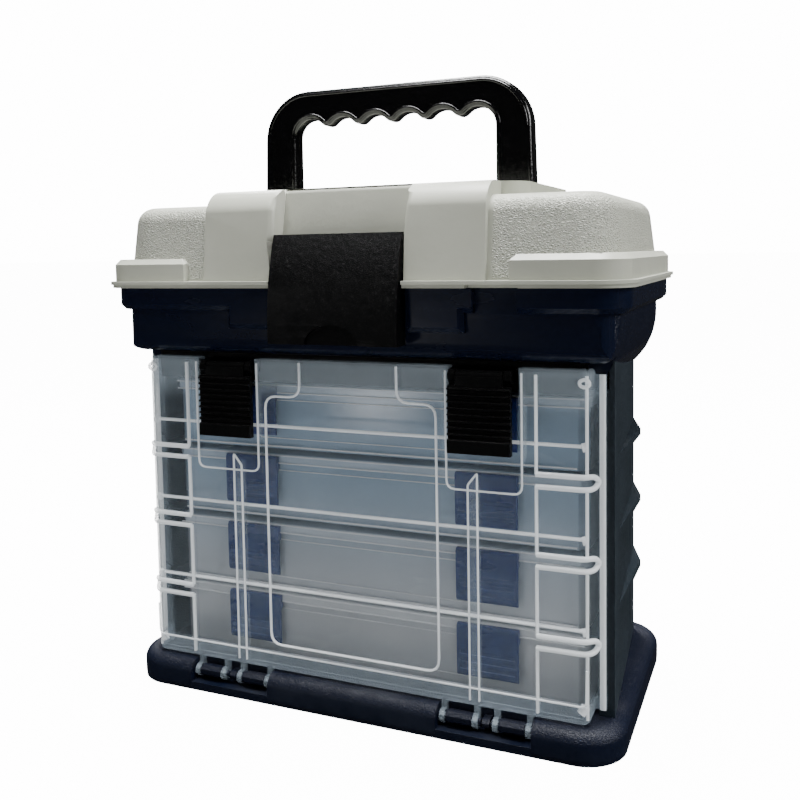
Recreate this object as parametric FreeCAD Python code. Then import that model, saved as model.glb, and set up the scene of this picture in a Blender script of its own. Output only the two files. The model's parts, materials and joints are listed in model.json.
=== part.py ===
import FreeCAD, Part
import math
import os

V = FreeCAD.Vector
os.makedirs("parts", exist_ok=True)

# Frame: +X to the right, +Y to the back, +Z up, origin under the middle of the base.
# Every length is in millimetres. The front door looks towards -Y.

# Clearances and cutting
over = 1.0                  # how far every cutting body runs past the face it cuts
seat_gap = 0.3              # gap between bodies that rest against each other
run_gap = 0.06              # radial clearance of a pin that turns in its eye
side_gap = 0.4              # end clearance between knuckles on one pin

# Base plinth
base_side_out = 5.4         # plinth beyond the front edges of the side walls
base_front_out = 6.5        # and beyond the door's face
base_h = 14.0
base_r = 20.0               # plan corner radius
base_edge = 4.0             # bevelled top edge
base_wall = 2.6
base_rib_t = 2.0            # stiffening rib along the underside

# Body: two side walls and a back wall
body_in_w = 3.9             # front edges of the side walls inside the widest part of the tub
body_taper = 7.6            # side walls draw in by this much towards the back
body_in_front = 18.1        # their front edges behind the front of the tub
body_in_back = 12.0
body_wall = 2.4
back_wall = 2.6
back_rib_t = 1.8
back_rib_out = 1.6
edge_return_w = 7.0         # front edge of a side wall folds inwards by this much
edge_return_t = 1.6

# Trays and the bay they slide in
tray_count = 4
tray_pitch = 36.0
tray_h = 33.5
tray_side_room = 8.7        # tray to the side wall, at the front
tray_set_back = 3.2         # tray front behind the front edge of the side walls
tray_back_room = 1.4        # tray to the back wall
tray_wall = 1.5
tray_floor = 1.6
tray_lid_h = 4.8            # skirt of the tray lid
tray_lid_t = 1.4
tray_box_inset = 1.2        # tray box stands back from its lid skirt
tray_bevel = 3.4            # cut inner corners of box and lid
tray_float = seat_gap       # tray above the runner that carries it
divider_t = 1.2
divider_count = 3
divider_drop = 3.0          # divider stops this far under the lid
runner_t = 1.7              # ledge that carries a tray
runner_reach = 11.2         # ledge sticks in from the wall this far
bulge_in = 1.6              # outward bulges run level, inside the front edge of the side wall
bulge_top_h = 3.2           # flat crest of a bulge
bulge_flare = 0.42          # its flanks spread this much for each unit of depth
bulge_wall_h = 2.1          # height of a flank's wall
bulge_rise = 6.2            # centre of the lowest bulge above the tray bottom
bulge_step = 1.15           # each higher bulge stands this much nearer to its tray bottom
bulge_back_gap = 16.0       # sloping rear end of the bulges

# Tray snap latches
snap_x = 62.7
snap_w = 30.0
snap_h = 25.0
snap_out = 2.8              # stands proud of the lid skirt
snap_t = 1.6
snap_hook = 1.4
snap_rib_count = 3
snap_rib_h = 1.8
snap_rib_pitch = 3.6
snap_top_drop = 1.2         # top of the snap below the top of the tray

# Upper tub
tub_lift = 2.0              # tub floor above the top tray's bay
tub_h = 44.9
tub_r = 12.0
tub_inner_bevel = 6.0       # cut inner corners of the tub and its collar
tub_wall = 2.4
tub_side_r = 45.0           # convex curve that draws the sides in
tub_curve_top = 13.4        # curve starts this far below the tub mouth
tub_step_out = 0.7          # lower front wall, just in front of the side walls
tub_step_h = 12.5
tub_front_draft = 2.5       # lower front wall leans back by this much
tub_nose_r = 9.0            # rounded lower front edge
tub_heel_r = 12.0           # rounded lower rear edge
collar_out_w = 5.0          # collar beyond the tub at the sides
collar_out_d = 4.0          # and at the front and back
collar_r = 15.0
collar_h = 10.7
collar_edge = 2.4           # bevelled lower edge
boss_w = 26.7               # two bosses flank the lid latch
boss_drop = 8.8             # they hang below the collar, flush with it
catch_h = 2.2
catch_w = 24.0
catch_drop = 12.5           # catch for the lid latch, below the tub mouth
slot_x = 64.5               # slot through the collar, on the right of the lid latch only
slot_w = 19.7
slot_rim_play = 1.9         # the same slot in the lid's lower lip is wider by this much

# Lid
rim_w = 267.0
rim_d = 150.0
rim_r = 17.0
rim_lip_t = 1.6             # two stacked lips, the lower one set back
rim_inset = 1.0
rim_over_w = 3.0            # rim beyond the tub's collar at the sides
rim_over_d = 5.0            # and at the front and back
lid_wall = 2.4
dome_in_w = 6.5             # dome behind the rim at the sides
dome_in_d = 5.5             # and at the front and back
dome_r = 21.0
dome_lean = 5.0             # walls lean in towards the top
dome_h = 37.1
dome_edge_r = 9.0
dome_inner_edge = 6.0       # bevel of the same edge inside
strap_h = 43.6              # raised middle above the rim
strap_half_w = 71.0
strap_in_d = 3.0
strap_lean = 4.5            # strap fronts lean back towards the top
strap_top_r = 14.0
deck_side = 3.2             # wider deck round the handle well
deck_half_d = 46.0
deck_r = 12.0
bumper_h = 11.1
bumper_in = 2.5             # bumper behind the rim
bumper_gap = 11.0           # free dome front between bumper and strap
bumper_edge = 2.6
niche_play = 1.1            # niche between the straps, for the lid latch
niche_d = 12.0              # depth of its lower part, from the front of the straps
niche_lean = 4.5
niche_bend_h = 19.0         # the niche wall leans back above this height
rim_notch_gap = 1.0         # rim stops this far before the tub wall behind the latch

# Lid latch
latch_half_w = 32.5
latch_top_rise = 21.6       # above the rim
latch_bottom_drop = 28.9    # below the rim
latch_top_in = 7.9          # top edge behind the lower edge
latch_bulge_in = 1.3        # middle of the curved face behind the lower edge
latch_t = 2.6
latch_cheek_t = 2.5
latch_cheek_gap = 1.6       # cheeks in front of the tub wall
latch_pin_gap = 0.2         # pin in front of the plane of the tub wall
latch_pin_drop = 4.0        # pin below the latch's top
latch_knuckle_r = 3.2
latch_pin_r = 1.5
latch_nib_h = 2.0
latch_nib_rise = 6.0
thumb_half_w = 13.5         # half-moon thumb recess
thumb_h = 9.2

# Rear hinge of the lid
reach_out = 2.7             # latch front and hinge back reach this far past the rim
hinge_knuckle_r = 3.2
hinge_pin_r = 1.5
hinge_in_x = 60.0           # inner end of each of the two hinges
hinge_w = 30.0
hinge_mid_w = 11.2          # lid knuckle in the middle of each hinge
hinge_web_t = 3.4
hinge_play = 0.7            # room round the knuckles in the rim

# Carrying handle
handle_half_w = 75.5
handle_leg_w = 19.5
handle_t = 11.0
handle_rise = 61.5          # pivot to the top of the grip
handle_corner_r = 26.0
grip_t = 14.0
grip_inner_r = 10.0
scallop_r = 14.0
scallop_pitch = 17.0
scallop_count = 6
handle_bevel = 1.1
handle_pivot_drop = 6.0     # pivot below the deck
handle_pin_r = 2.2
handle_play = 0.9           # room beside the legs in the well
handle_well_under = 0.6     # room under the folded handle

# Door
door_d = 12.3               # from the face to the back of the flange
door_in = 8.1               # pan narrower than the side walls on each side
door_t = 1.8
door_lift = 1.6             # bottom edge above the plinth
door_lap = 10.1             # top edge above the tub floor
door_side_t = 1.5
door_flange_t = 1.6
door_flange_gap = 0.6       # flange in front of the lower tub wall
door_flange_in = 3.2        # flange ends inside the outer faces of the side walls
door_edge_r = 4.0           # rounded upright edges of the pan
door_lip_depth = 2.8        # bottom edge, shallow so the lowest tray passes
door_corner_r = 3.0
notch_in_x = 50.2           # notches for the two door latches
notch_out_x = 82.8
notch_h = 39.1
pocket_h = 16.7
pocket_depth = 2.0
pocket_wall = 1.4
door_rib_w = 1.6
door_rib_out = 1.4
door_rib_top_drop = 33.1    # uppermost level rib below the door's top edge
door_bar_x = 61.3           # broad upright ribs
door_bar_w = 5.0
door_bar_out = 1.2
door_mullion_x = 90.0
panel_half_w = 44.5         # raised centre panel
panel_bottom_rise = 12.4
panel_shoulder_x = 25.0
panel_side_drop = 17.6      # shoulders below the door's top edge
panel_corner_r = 6.0
panel_out = 0.7

# Door hinge, moulded in two pockets of the plinth
door_pin_out = 1.0          # pin in front of the door's face
door_pin_drop = 5.0         # and below the top of the plinth
door_pin_r = 1.5
door_knuckle_r = 2.7
door_eye_r = 3.0
door_eye_w = 2.4
door_eye_xs = (46.3, 62.0, 71.5, 86.6)
hinge_pocket_gap = 0.9      # room beside the outer eyes
hinge_pocket_depth = 10.0
hinge_pocket_h = 9.8
keeper_w = 3.6              # small hook between the two middle eyes

# Door header and door latches
header_end_gap = 1.4        # header ends inside the door's side walls
header_t = 6.6
header_front_gap = 0.7      # behind the door's top wall
header_drop = 1.5           # lower edge below the tub floor
clip_in_gap = 0.8           # room in the notch beside a latch
clip_out_gap = 2.8
clip_pin_out = 0.5          # pin in front of the door's face
clip_pin_rise = 7.5         # above the lower edge of the header
clip_pin_r = 1.0
clip_knuckle_r = 2.8
clip_gap = 1.1              # latch plate in front of the door's face
clip_t = 2.4
clip_top_drop = 4.2         # top of the plate below the pin
clip_lip_h = 6.4
clip_rib_count = 8
clip_rib_pitch = 2.9
clip_rib_h = 1.5
clip_rib_out = 1.5
clip_ear_w = 3.2

# Places that follow from the sizes above, from the ground up
tub_z0 = base_h + tray_count * tray_pitch + tub_lift
tub_top_z = tub_z0 + tub_h
rim_z0 = tub_top_z + seat_gap
rim_z1 = rim_z0 + 2 * rim_lip_t
deck_z = rim_z1 + strap_h
dome_z = rim_z1 + dome_h
handle_pivot_z = deck_z - handle_pivot_drop
latch_pin_z = rim_z1 + latch_top_rise - latch_pin_drop
hinge_z = (tub_top_z + rim_z0) / 2
header_z0 = tub_z0 - header_drop
header_z1 = tub_z0 + tub_step_h - seat_gap
door_bottom_z = base_h + door_lift
door_top_z = tub_z0 + door_lap
pocket_top_z = door_top_z - notch_h
door_pin_z = base_h - door_pin_drop
clip_pin_z = header_z0 + clip_pin_rise
clip_top_z = clip_pin_z - clip_top_drop
clip_bottom_z = pocket_top_z + 2 * seat_gap

# Places along the depth, from the middle outwards
collar_half_d = rim_d / 2 - rim_over_d
tub_half_d = collar_half_d - collar_out_d
dome_half_d = rim_d / 2 - dome_in_d
strap_half_d = rim_d / 2 - strap_in_d
reach_y = rim_d / 2 + reach_out
hinge_y = reach_y - hinge_knuckle_r
body_front_y = body_in_front - tub_half_d
body_back_y = tub_half_d - body_in_back
bulge_back_y = body_back_y - bulge_back_gap
tray_front_y = body_front_y + tray_set_back
tray_back_y = body_back_y - back_wall - tray_back_room
tub_step_y = body_front_y - tub_step_out
flange_y = tub_step_y - door_flange_gap
door_face_y = flange_y - door_d
base_half_d = base_front_out - door_face_y
door_pin_y = door_face_y - door_pin_out
header_front_y = tub_step_y - header_t
door_top_depth = header_front_y - header_front_gap - door_face_y
clip_pin_y = door_face_y - clip_pin_out
clip_plate_y1 = door_face_y - clip_gap
clip_plate_y0 = clip_plate_y1 - clip_t
niche_low_y = niche_d - strap_half_d
latch_pin_y = -tub_half_d - latch_pin_gap

# Places across the width, from the middle outwards
collar_half_w = rim_w / 2 - rim_over_w
tub_half_w = collar_half_w - collar_out_w
dome_half_w = rim_w / 2 - dome_in_w
body_half_w = tub_half_w - body_in_w
body_lean = math.atan(body_taper / (body_back_y - body_front_y))
bulge_x = body_half_w - bulge_in
base_half_w = body_half_w + base_side_out
tray_half_w = body_half_w - body_wall - tray_side_room
door_half_w = body_half_w - door_in
door_flange_half_w = body_half_w - door_flange_in
header_half_w = door_half_w - door_side_t - header_end_gap
niche_half_w = latch_half_w + niche_play
deck_half_w = handle_half_w + handle_play + lid_wall + deck_side
hinge_out_x = hinge_in_x + hinge_w
hinge_mid_x = hinge_in_x + hinge_w / 2
clip_x0 = notch_in_x + clip_in_gap
clip_x1 = notch_out_x - clip_out_gap
scallop_cusp = scallop_r - math.sqrt(scallop_r ** 2 - (scallop_pitch / 2) ** 2)


def box(x0, x1, y0, y1, z0, z1):
    """Block between two corners."""
    return Part.makeBox(x1 - x0, y1 - y0, z1 - z0, V(x0, y0, z0))


def rod_x(radius, x0, x1, y, z):
    """Round rod along X."""
    return Part.makeCylinder(radius, x1 - x0, V(x0, y, z), V(1, 0, 0))


def ring_wire(half_w, half_d, radius, z):
    """Rounded rectangle in plan, as one closed wire at height z."""
    edges = []
    corners = ((1, 1), (-1, 1), (-1, -1), (1, -1))
    for step, (sx, sy) in enumerate(corners):
        centre = V(sx * (half_w - radius), sy * (half_d - radius), z)
        turn = 90 * step
        arc = Part.makeCircle(radius, centre, V(0, 0, 1), turn, turn + 90)
        edges.append(arc)
    closed = []
    for arc, after in zip(edges, edges[1:] + edges[:1]):
        closed.append(arc)
        closed.append(Part.makeLine(arc.valueAt(arc.LastParameter), after.valueAt(after.FirstParameter)))
    return Part.Wire(closed)


def slab(half_w, half_d, radius, z0, z1):
    """Upright block with a rounded rectangle as its plan."""
    return Part.Face(ring_wire(half_w, half_d, radius, z0)).extrude(V(0, 0, z1 - z0))


def bevel_slab(half_w, half_d, bevel, z0, z1):
    """Upright block with bevelled corners in plan."""
    corners = []
    for sx, sy in ((1, 1), (-1, 1), (-1, -1), (1, -1)):
        side = V(sx * half_w, sy * (half_d - bevel), z0)
        end = V(sx * (half_w - bevel), sy * half_d, z0)
        corners.extend((side, end) if sx == sy else (end, side))
    wire = Part.makePolygon(corners + corners[:1])
    return Part.Face(wire).extrude(V(0, 0, z1 - z0))


def drafted_block(half_w, half_d, radius, lean, z0, z1):
    """Upright block whose walls and round corners all lean in by the same amount."""
    flat_w = half_w - radius
    flat_d = half_d - radius
    pieces = [polygon_x(((-half_d, z0), (lean - half_d, z1), (half_d - lean, z1), (half_d, z0)),
                        -flat_w, flat_w),
              polygon_y(((-half_w, z0), (lean - half_w, z1), (half_w - lean, z1), (half_w, z0)),
                        -flat_d, flat_d)]
    for x in (-flat_w, flat_w):
        for y in (-flat_d, flat_d):
            pieces.append(Part.makeCone(radius, radius - lean, z1 - z0, V(x, y, z0)))
    return fuse(pieces)


def polygon_x(points, x0, x1):
    """Outline in the YZ plane, run along X."""
    wire = Part.makePolygon([V(x0, y, z) for y, z in points] + [V(x0, *points[0])])
    return Part.Face(wire).extrude(V(x1 - x0, 0, 0))


def polygon_y(points, y0, y1):
    """Outline in the XZ plane, run along Y."""
    wire = Part.makePolygon([V(x, y0, z) for x, z in points] + [V(points[0][0], y0, points[0][1])])
    return Part.Face(wire).extrude(V(0, y1 - y0, 0))


def polygon_z(points, z0, z1):
    """Outline in plan, run upwards."""
    wire = Part.makePolygon([V(x, y, z0) for x, y in points] + [V(*points[0], z0)])
    return Part.Face(wire).extrude(V(0, 0, z1 - z0))


def octagon_x(radius, x0, x1, y, z):
    """Eight-sided bar along X whose flats touch the given radius."""
    flat = radius * math.tan(math.pi / 8)
    points = []
    for a, b in ((1, 1), (-1, 1), (-1, -1), (1, -1)):
        side = (y + a * radius, z + b * flat)
        end = (y + a * flat, z + b * radius)
        points.extend((side, end) if a == b else (end, side))
    return polygon_x(points, x0, x1)


def fuse(shapes):
    """One solid from touching shapes, with its split faces joined."""
    shapes = list(shapes)
    return shapes[0].multiFuse(shapes[1:]).removeSplitter()


def mirror_x(shape):
    """The same shape on the other side of the middle plane."""
    return shape.mirror(V(0, 0, 0), V(1, 0, 0))


def both_sides(shape):
    """A shape and its mirror image across the middle plane."""
    return [shape, mirror_x(shape)]


def round_edges(shape, radius, chosen):
    """Fillet the edges that the test picks."""
    return shape.makeFillet(radius, [edge for edge in shape.Edges if chosen(edge)])


def bevel_edges(shape, size, chosen):
    """Chamfer the edges that the test picks."""
    return shape.makeChamfer(size, [edge for edge in shape.Edges if chosen(edge)])


def all_at_z(z):
    """Test for edges that lie wholly at one height."""
    def test(edge):
        low, high = edge.BoundBox.ZMin, edge.BoundBox.ZMax
        return abs(low - z) < seat_gap / 10 and abs(high - z) < seat_gap / 10
    return test


def save(shape, node):
    """Write one node."""
    if shape.ShapeType == "Compound" and len(shape.Solids) == 1:
        shape = shape.Solids[0]
    shape.exportStep("parts/" + node + ".step")


def group(shapes):
    """Several separate solids kept as one node."""
    solids = []
    for shape in shapes:
        solids.extend(shape.Solids)
    return Part.makeCompound(solids)


def tray_bottom(level):
    """Underside of a tray, level 0 being the lowest."""
    return base_h + level * tray_pitch + tray_float


# Base plinth: a low moulded tray, open underneath, with two hinge pockets in its front
def hinge_pocket(grow):
    """Room cut in the plinth for one door hinge, or the wall round it."""
    side = door_eye_w / 2 + hinge_pocket_gap + grow
    return box(door_eye_xs[0] - side, door_eye_xs[-1] + side, -base_half_d - over,
               -base_half_d + hinge_pocket_depth + grow, base_h - hinge_pocket_h - grow, base_h + over)


def make_base():
    outer = slab(base_half_w, base_half_d, base_r, 0, base_h)
    outer = bevel_edges(outer, base_edge, all_at_z(base_h))
    hollow = bevel_slab(base_half_w - base_wall, base_half_d - base_wall, base_r / 2,
                        -over, base_h - base_wall)
    hollow = hollow.cut(box(-base_half_w, base_half_w, -base_rib_t / 2, base_rib_t / 2, 0, base_h))
    for pocket_wall_block in both_sides(hinge_pocket(base_wall)):
        hollow = hollow.cut(pocket_wall_block)
    plinth = outer.cut(hollow)
    for pocket in both_sides(hinge_pocket(0)):
        plinth = plinth.cut(pocket)
    knuckles = []
    back_y = -base_half_d + hinge_pocket_depth
    spans = ((door_eye_xs[0], door_eye_xs[1]), (door_eye_xs[2], door_eye_xs[3]))
    for left, right in spans:
        x0 = left + door_eye_w / 2 + side_gap
        x1 = right - door_eye_w / 2 - side_gap
        knuckle = octagon_x(door_knuckle_r, x0, x1, door_pin_y, door_pin_z)
        web = box(x0, x1, door_pin_y, back_y + base_wall / 2,
                  door_pin_z - door_knuckle_r / 2, door_pin_z + door_knuckle_r / 2)
        bar = rod_x(door_pin_r, left - door_eye_w, right + door_eye_w, door_pin_y, door_pin_z)
        knuckles.append(fuse([knuckle, web, bar]))
    middle_x = (door_eye_xs[1] + door_eye_xs[2]) / 2
    keeper = polygon_x(((back_y + base_wall / 2, door_pin_z - door_knuckle_r),
                        (door_pin_y, door_pin_z - door_knuckle_r),
                        (door_pin_y - door_pin_r, door_pin_z),
                        (door_pin_y, door_pin_z + door_pin_r),
                        (back_y + base_wall / 2, door_pin_z + door_pin_r)),
                       middle_x - keeper_w / 2, middle_x + keeper_w / 2)
    knuckles.append(keeper)
    return fuse([plinth] + knuckles + [mirror_x(piece) for piece in knuckles])


save(make_base(), "base_plinth")


# Upper tub: three outlines crossed give drawn-in sides, a stepped front and round corners
def tub_form(inset):
    """Solid form of the tub, or of its hollow when inset by the wall."""
    z0 = tub_z0 + inset
    z1 = tub_top_z + (over if inset else 0)
    half_w = tub_half_w - inset
    half_d = tub_half_d - inset
    if inset:
        plan = bevel_slab(half_w, half_d, tub_inner_bevel, z0, z1)
    else:
        plan = slab(half_w, half_d, tub_r, z0, z1)
    bend_z = tub_top_z - tub_curve_top
    radius = tub_side_r - inset
    centre_x = half_w - radius
    reach = math.asin((bend_z - z0) / radius)
    foot = V(centre_x + radius * math.cos(reach), -half_d, z0)
    waist = V(centre_x + radius * math.cos(reach / 2), -half_d, bend_z - radius * math.sin(reach / 2))
    bend = V(half_w, -half_d, bend_z)
    lip = V(half_w, -half_d, z1)

    def left(point):
        return V(-point.x, point.y, point.z)

    front = Part.Wire([Part.Arc(foot, waist, bend).toShape(), Part.makeLine(bend, lip),
                       Part.makeLine(lip, left(lip)), Part.makeLine(left(lip), left(bend)),
                       Part.Arc(left(bend), left(waist), left(foot)).toShape(),
                       Part.makeLine(left(foot), foot)])
    across = Part.Face(front).extrude(V(0, 2 * half_d, 0))
    heel = box(-half_w, half_w, tub_step_y + inset, half_d, z0, z1)
    heel = round_edges(heel, tub_heel_r - inset,
                       lambda edge: all_at_z(z0)(edge) and edge.BoundBox.YMin > 0)
    step_z = tub_z0 + tub_step_h + inset
    nose = polygon_x(((-half_d, z1), (-half_d, bend_z), (-half_d + tub_front_draft, step_z),
                      (half_d / 2, step_z), (half_d / 2, z1)), -half_w, half_w)
    nose = round_edges(nose, tub_nose_r - inset,
                       lambda edge: all_at_z(step_z)(edge) and edge.BoundBox.YMin < 0)
    along = fuse([heel, nose])
    return plan.common(across).common(along)


def collar_notches(grow):
    """Room behind the lid latch and in the slot beside it, or the walls round them."""
    rooms = []
    for x0, x1 in ((-niche_half_w, niche_half_w), (slot_x, slot_x + slot_w)):
        rooms.append(box(x0 - grow, x1 + grow, -reach_y - over, -tub_half_d + grow,
                         tub_z0 + tub_step_h + tub_nose_r, tub_top_z + 2 * over))
    return rooms


def lid_hinge_rod():
    return rod_x(hinge_pin_r, hinge_in_x, hinge_out_x, hinge_y, hinge_z)


def make_tub():
    collar_z = tub_top_z - collar_h
    collar = slab(collar_half_w, collar_half_d, collar_r, collar_z, tub_top_z)
    collar = bevel_edges(collar, collar_edge, all_at_z(collar_z))
    boss = box(niche_half_w, niche_half_w + boss_w, -collar_half_d, -tub_half_d + tub_wall / 2,
               collar_z - boss_drop, tub_top_z - collar_edge)
    boss = bevel_edges(boss, collar_edge, lambda edge: edge.BoundBox.YLength < seat_gap
                       and edge.BoundBox.YMax < -tub_half_d
                       and (edge.BoundBox.XMin > niche_half_w + collar_edge
                            or edge.BoundBox.ZMax < collar_z))
    outer = fuse([tub_form(0), collar] + both_sides(boss))
    for room in collar_notches(0):
        outer = outer.cut(room)
    hollow = fuse([tub_form(tub_wall),
                   bevel_slab(collar_half_w - tub_wall, collar_half_d - tub_wall,
                              tub_inner_bevel + collar_half_w - tub_half_w,
                              collar_z + tub_wall, tub_top_z + over)])
    for wall_block in collar_notches(tub_wall):
        hollow = hollow.cut(wall_block)
    tub = outer.cut(hollow)
    catch_z = tub_top_z - catch_drop
    catch = polygon_x(((-tub_half_d + tub_wall / 2, catch_z - catch_h),
                       (-tub_half_d - catch_h, catch_z - catch_h),
                       (-tub_half_d - catch_h, catch_z - catch_h / 2),
                       (-tub_half_d, catch_z),
                       (-tub_half_d + tub_wall / 2, catch_z)), -catch_w / 2, catch_w / 2)
    knuckles = []
    for x0, x1 in ((hinge_in_x, hinge_mid_x - hinge_mid_w / 2 - side_gap),
                   (hinge_mid_x + hinge_mid_w / 2 + side_gap, hinge_out_x)):
        barrel = rod_x(hinge_knuckle_r, x0, x1, hinge_y, hinge_z)
        web = polygon_x(((collar_half_d - tub_wall / 2, tub_top_z),
                         (hinge_y, tub_top_z),
                         (hinge_y, tub_top_z - hinge_knuckle_r),
                         (collar_half_d - tub_wall / 2, tub_top_z - collar_h + collar_edge)), x0, x1)
        knuckles.append(fuse([barrel, web]))
    tub = fuse([tub, catch] + knuckles + [mirror_x(piece) for piece in knuckles])
    for bore in both_sides(lid_hinge_rod()):
        tub = tub.cut(bore)
    return tub


save(make_tub(), "upper_tub")
save(group(both_sides(lid_hinge_rod())), "lid_hinge_rods")


# Side walls: a sheet that draws in to the back, with three bulges and the tray ledges
def bulge_bar(x0, x1, z, wall_h, y0, y1):
    """Level bar with a flat crest at x1 and spreading flanks, or the room inside it."""
    crest = bulge_top_h / 2 + bulge_flare * (bulge_x - x1) - wall_h
    root = bulge_top_h / 2 + bulge_flare * (bulge_x - x0) - wall_h
    return polygon_y(((x0, z - root), (x1, z - crest), (x1, z + crest), (x0, z + root)), y0, y1)


def make_side():
    x1 = body_half_w
    x0 = x1 - body_wall
    top_z = tub_z0 + tub_step_h
    past_front = body_front_y - over
    past_back = body_back_y + over
    pieces = [box(x0, x1, past_front, past_back, base_h, top_z),
              box(x1 - edge_return_w, x1, past_front, body_front_y + edge_return_t, base_h, tub_z0)]
    for level in range(1, tray_count):
        ledge_z = tray_bottom(level) - tray_float
        pieces.append(box(x0 - runner_reach, x0, body_front_y + edge_return_t, body_back_y - back_wall,
                          ledge_z - runner_t, ledge_z))
    side = fuse(pieces)
    bay = box(0, x0, past_front - body_taper, past_back + body_taper, 0, top_z + over)
    for shape in (side, bay):
        shape.rotate(V(x1, body_front_y, 0), V(0, 0, 1), math.degrees(body_lean))
    deep_x = x1 - body_taper - body_wall - over
    past_end = polygon_z(((bulge_x, bulge_back_y), (x1 - body_taper, body_back_y),
                          (x1 - body_taper, past_back), (x1, past_back), (x1, bulge_back_y)),
                         base_h, top_z)
    for level in range(1, tray_count):
        z = tray_bottom(level) + bulge_rise - bulge_step * (level - 1)
        bulge = bulge_bar(deep_x, bulge_x, z, 0, body_front_y, body_back_y)
        side = fuse([side, bulge.cut(bay).cut(past_end)])
        side = side.cut(bulge_bar(deep_x, bulge_x - body_wall, z, bulge_wall_h, body_front_y,
                                  bulge_back_y - body_wall))
    trimmed = box(0, x1, body_front_y, body_back_y, base_h, top_z)
    return side.common(trimmed).cut(tub_form(0))


right_side = make_side()
save(right_side, "side_panel_right")
save(mirror_x(right_side), "side_panel_left")


# Back wall: a sheet between the side walls with three shallow upright ribs
def inner_x(y):
    """Inner face of the right side wall at this depth."""
    return body_half_w - body_wall / math.cos(body_lean) - (y - body_front_y) * math.tan(body_lean)


def make_back():
    y0 = body_back_y - back_wall
    near_x = inner_x(y0)
    far_x = inner_x(body_back_y)
    back = polygon_z(((-near_x, y0), (near_x, y0), (far_x, body_back_y), (-far_x, body_back_y)),
                     base_h, tub_z0 + tub_step_h)
    ribs = []
    for x in (-far_x / 2, 0, far_x / 2):
        ribs.append(box(x - back_rib_t / 2, x + back_rib_t / 2, body_back_y, body_back_y + back_rib_out,
                        base_h, tub_z0))
    return fuse([back] + ribs).cut(tub_form(0))


save(make_back(), "back_panel")


# Door header: strip under the tub that carries the two door latches
def clip_ear_spans():
    return (clip_x0, clip_x0 + clip_ear_w), (clip_x1 - clip_ear_w, clip_x1)


def make_header():
    strip = box(-header_half_w, header_half_w, header_front_y, tub_step_y, header_z0, header_z1)
    ears = []
    for x0, x1 in clip_ear_spans():
        eye = octagon_x(clip_knuckle_r, x0, x1, clip_pin_y, clip_pin_z)
        arm = box(x0, x1, clip_pin_y, header_front_y + header_t / 2,
                  clip_pin_z - clip_knuckle_r, clip_pin_z + clip_knuckle_r)
        ears.append(fuse([eye, arm]))
    header = fuse([strip] + ears + [mirror_x(ear) for ear in ears])
    bore = rod_x(clip_pin_r + run_gap, clip_x0 - over, clip_x1 + over, clip_pin_y, clip_pin_z)
    for cutter in both_sides(bore):
        header = header.cut(cutter)
    return header


save(make_header(), "door_header")


# Door latches: ribbed snap plates that hang from the header
def make_clip():
    plate = box(clip_x0, clip_x1, clip_plate_y0, clip_plate_y1, clip_bottom_z, clip_top_z)
    lip = box(clip_x0, clip_x1, clip_plate_y0 - clip_rib_out, clip_plate_y1,
              clip_bottom_z, clip_bottom_z + clip_lip_h)
    lip = round_edges(lip, clip_rib_out / 2, lambda edge: edge.BoundBox.YMax < clip_plate_y0
                      and edge.BoundBox.XLength > clip_ear_w)
    pieces = [plate, lip]
    for index in range(clip_rib_count):
        z = clip_bottom_z + clip_lip_h + index * clip_rib_pitch + clip_rib_pitch / 2
        pieces.append(polygon_x(((clip_plate_y0, z), (clip_plate_y0 - clip_rib_out, z + clip_rib_h / 3),
                                 (clip_plate_y0 - clip_rib_out, z + 2 * clip_rib_h / 3),
                                 (clip_plate_y0, z + clip_rib_h)), clip_x0, clip_x1))
    left_ear, right_ear = clip_ear_spans()
    x0 = left_ear[1] + side_gap
    x1 = right_ear[0] - side_gap
    eye = rod_x(clip_knuckle_r, x0, x1, clip_pin_y, clip_pin_z)
    arm = box(x0, x1, clip_plate_y0, clip_plate_y1, clip_top_z - clip_rib_h, clip_pin_z)
    studs = rod_x(clip_pin_r, clip_x0, clip_x1, clip_pin_y, clip_pin_z)
    pieces.append(fuse([eye, arm, studs]))
    return fuse(pieces)


right_clip = make_clip()
save(right_clip, "door_latch_right")
save(mirror_x(right_clip), "door_latch_left")


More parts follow.
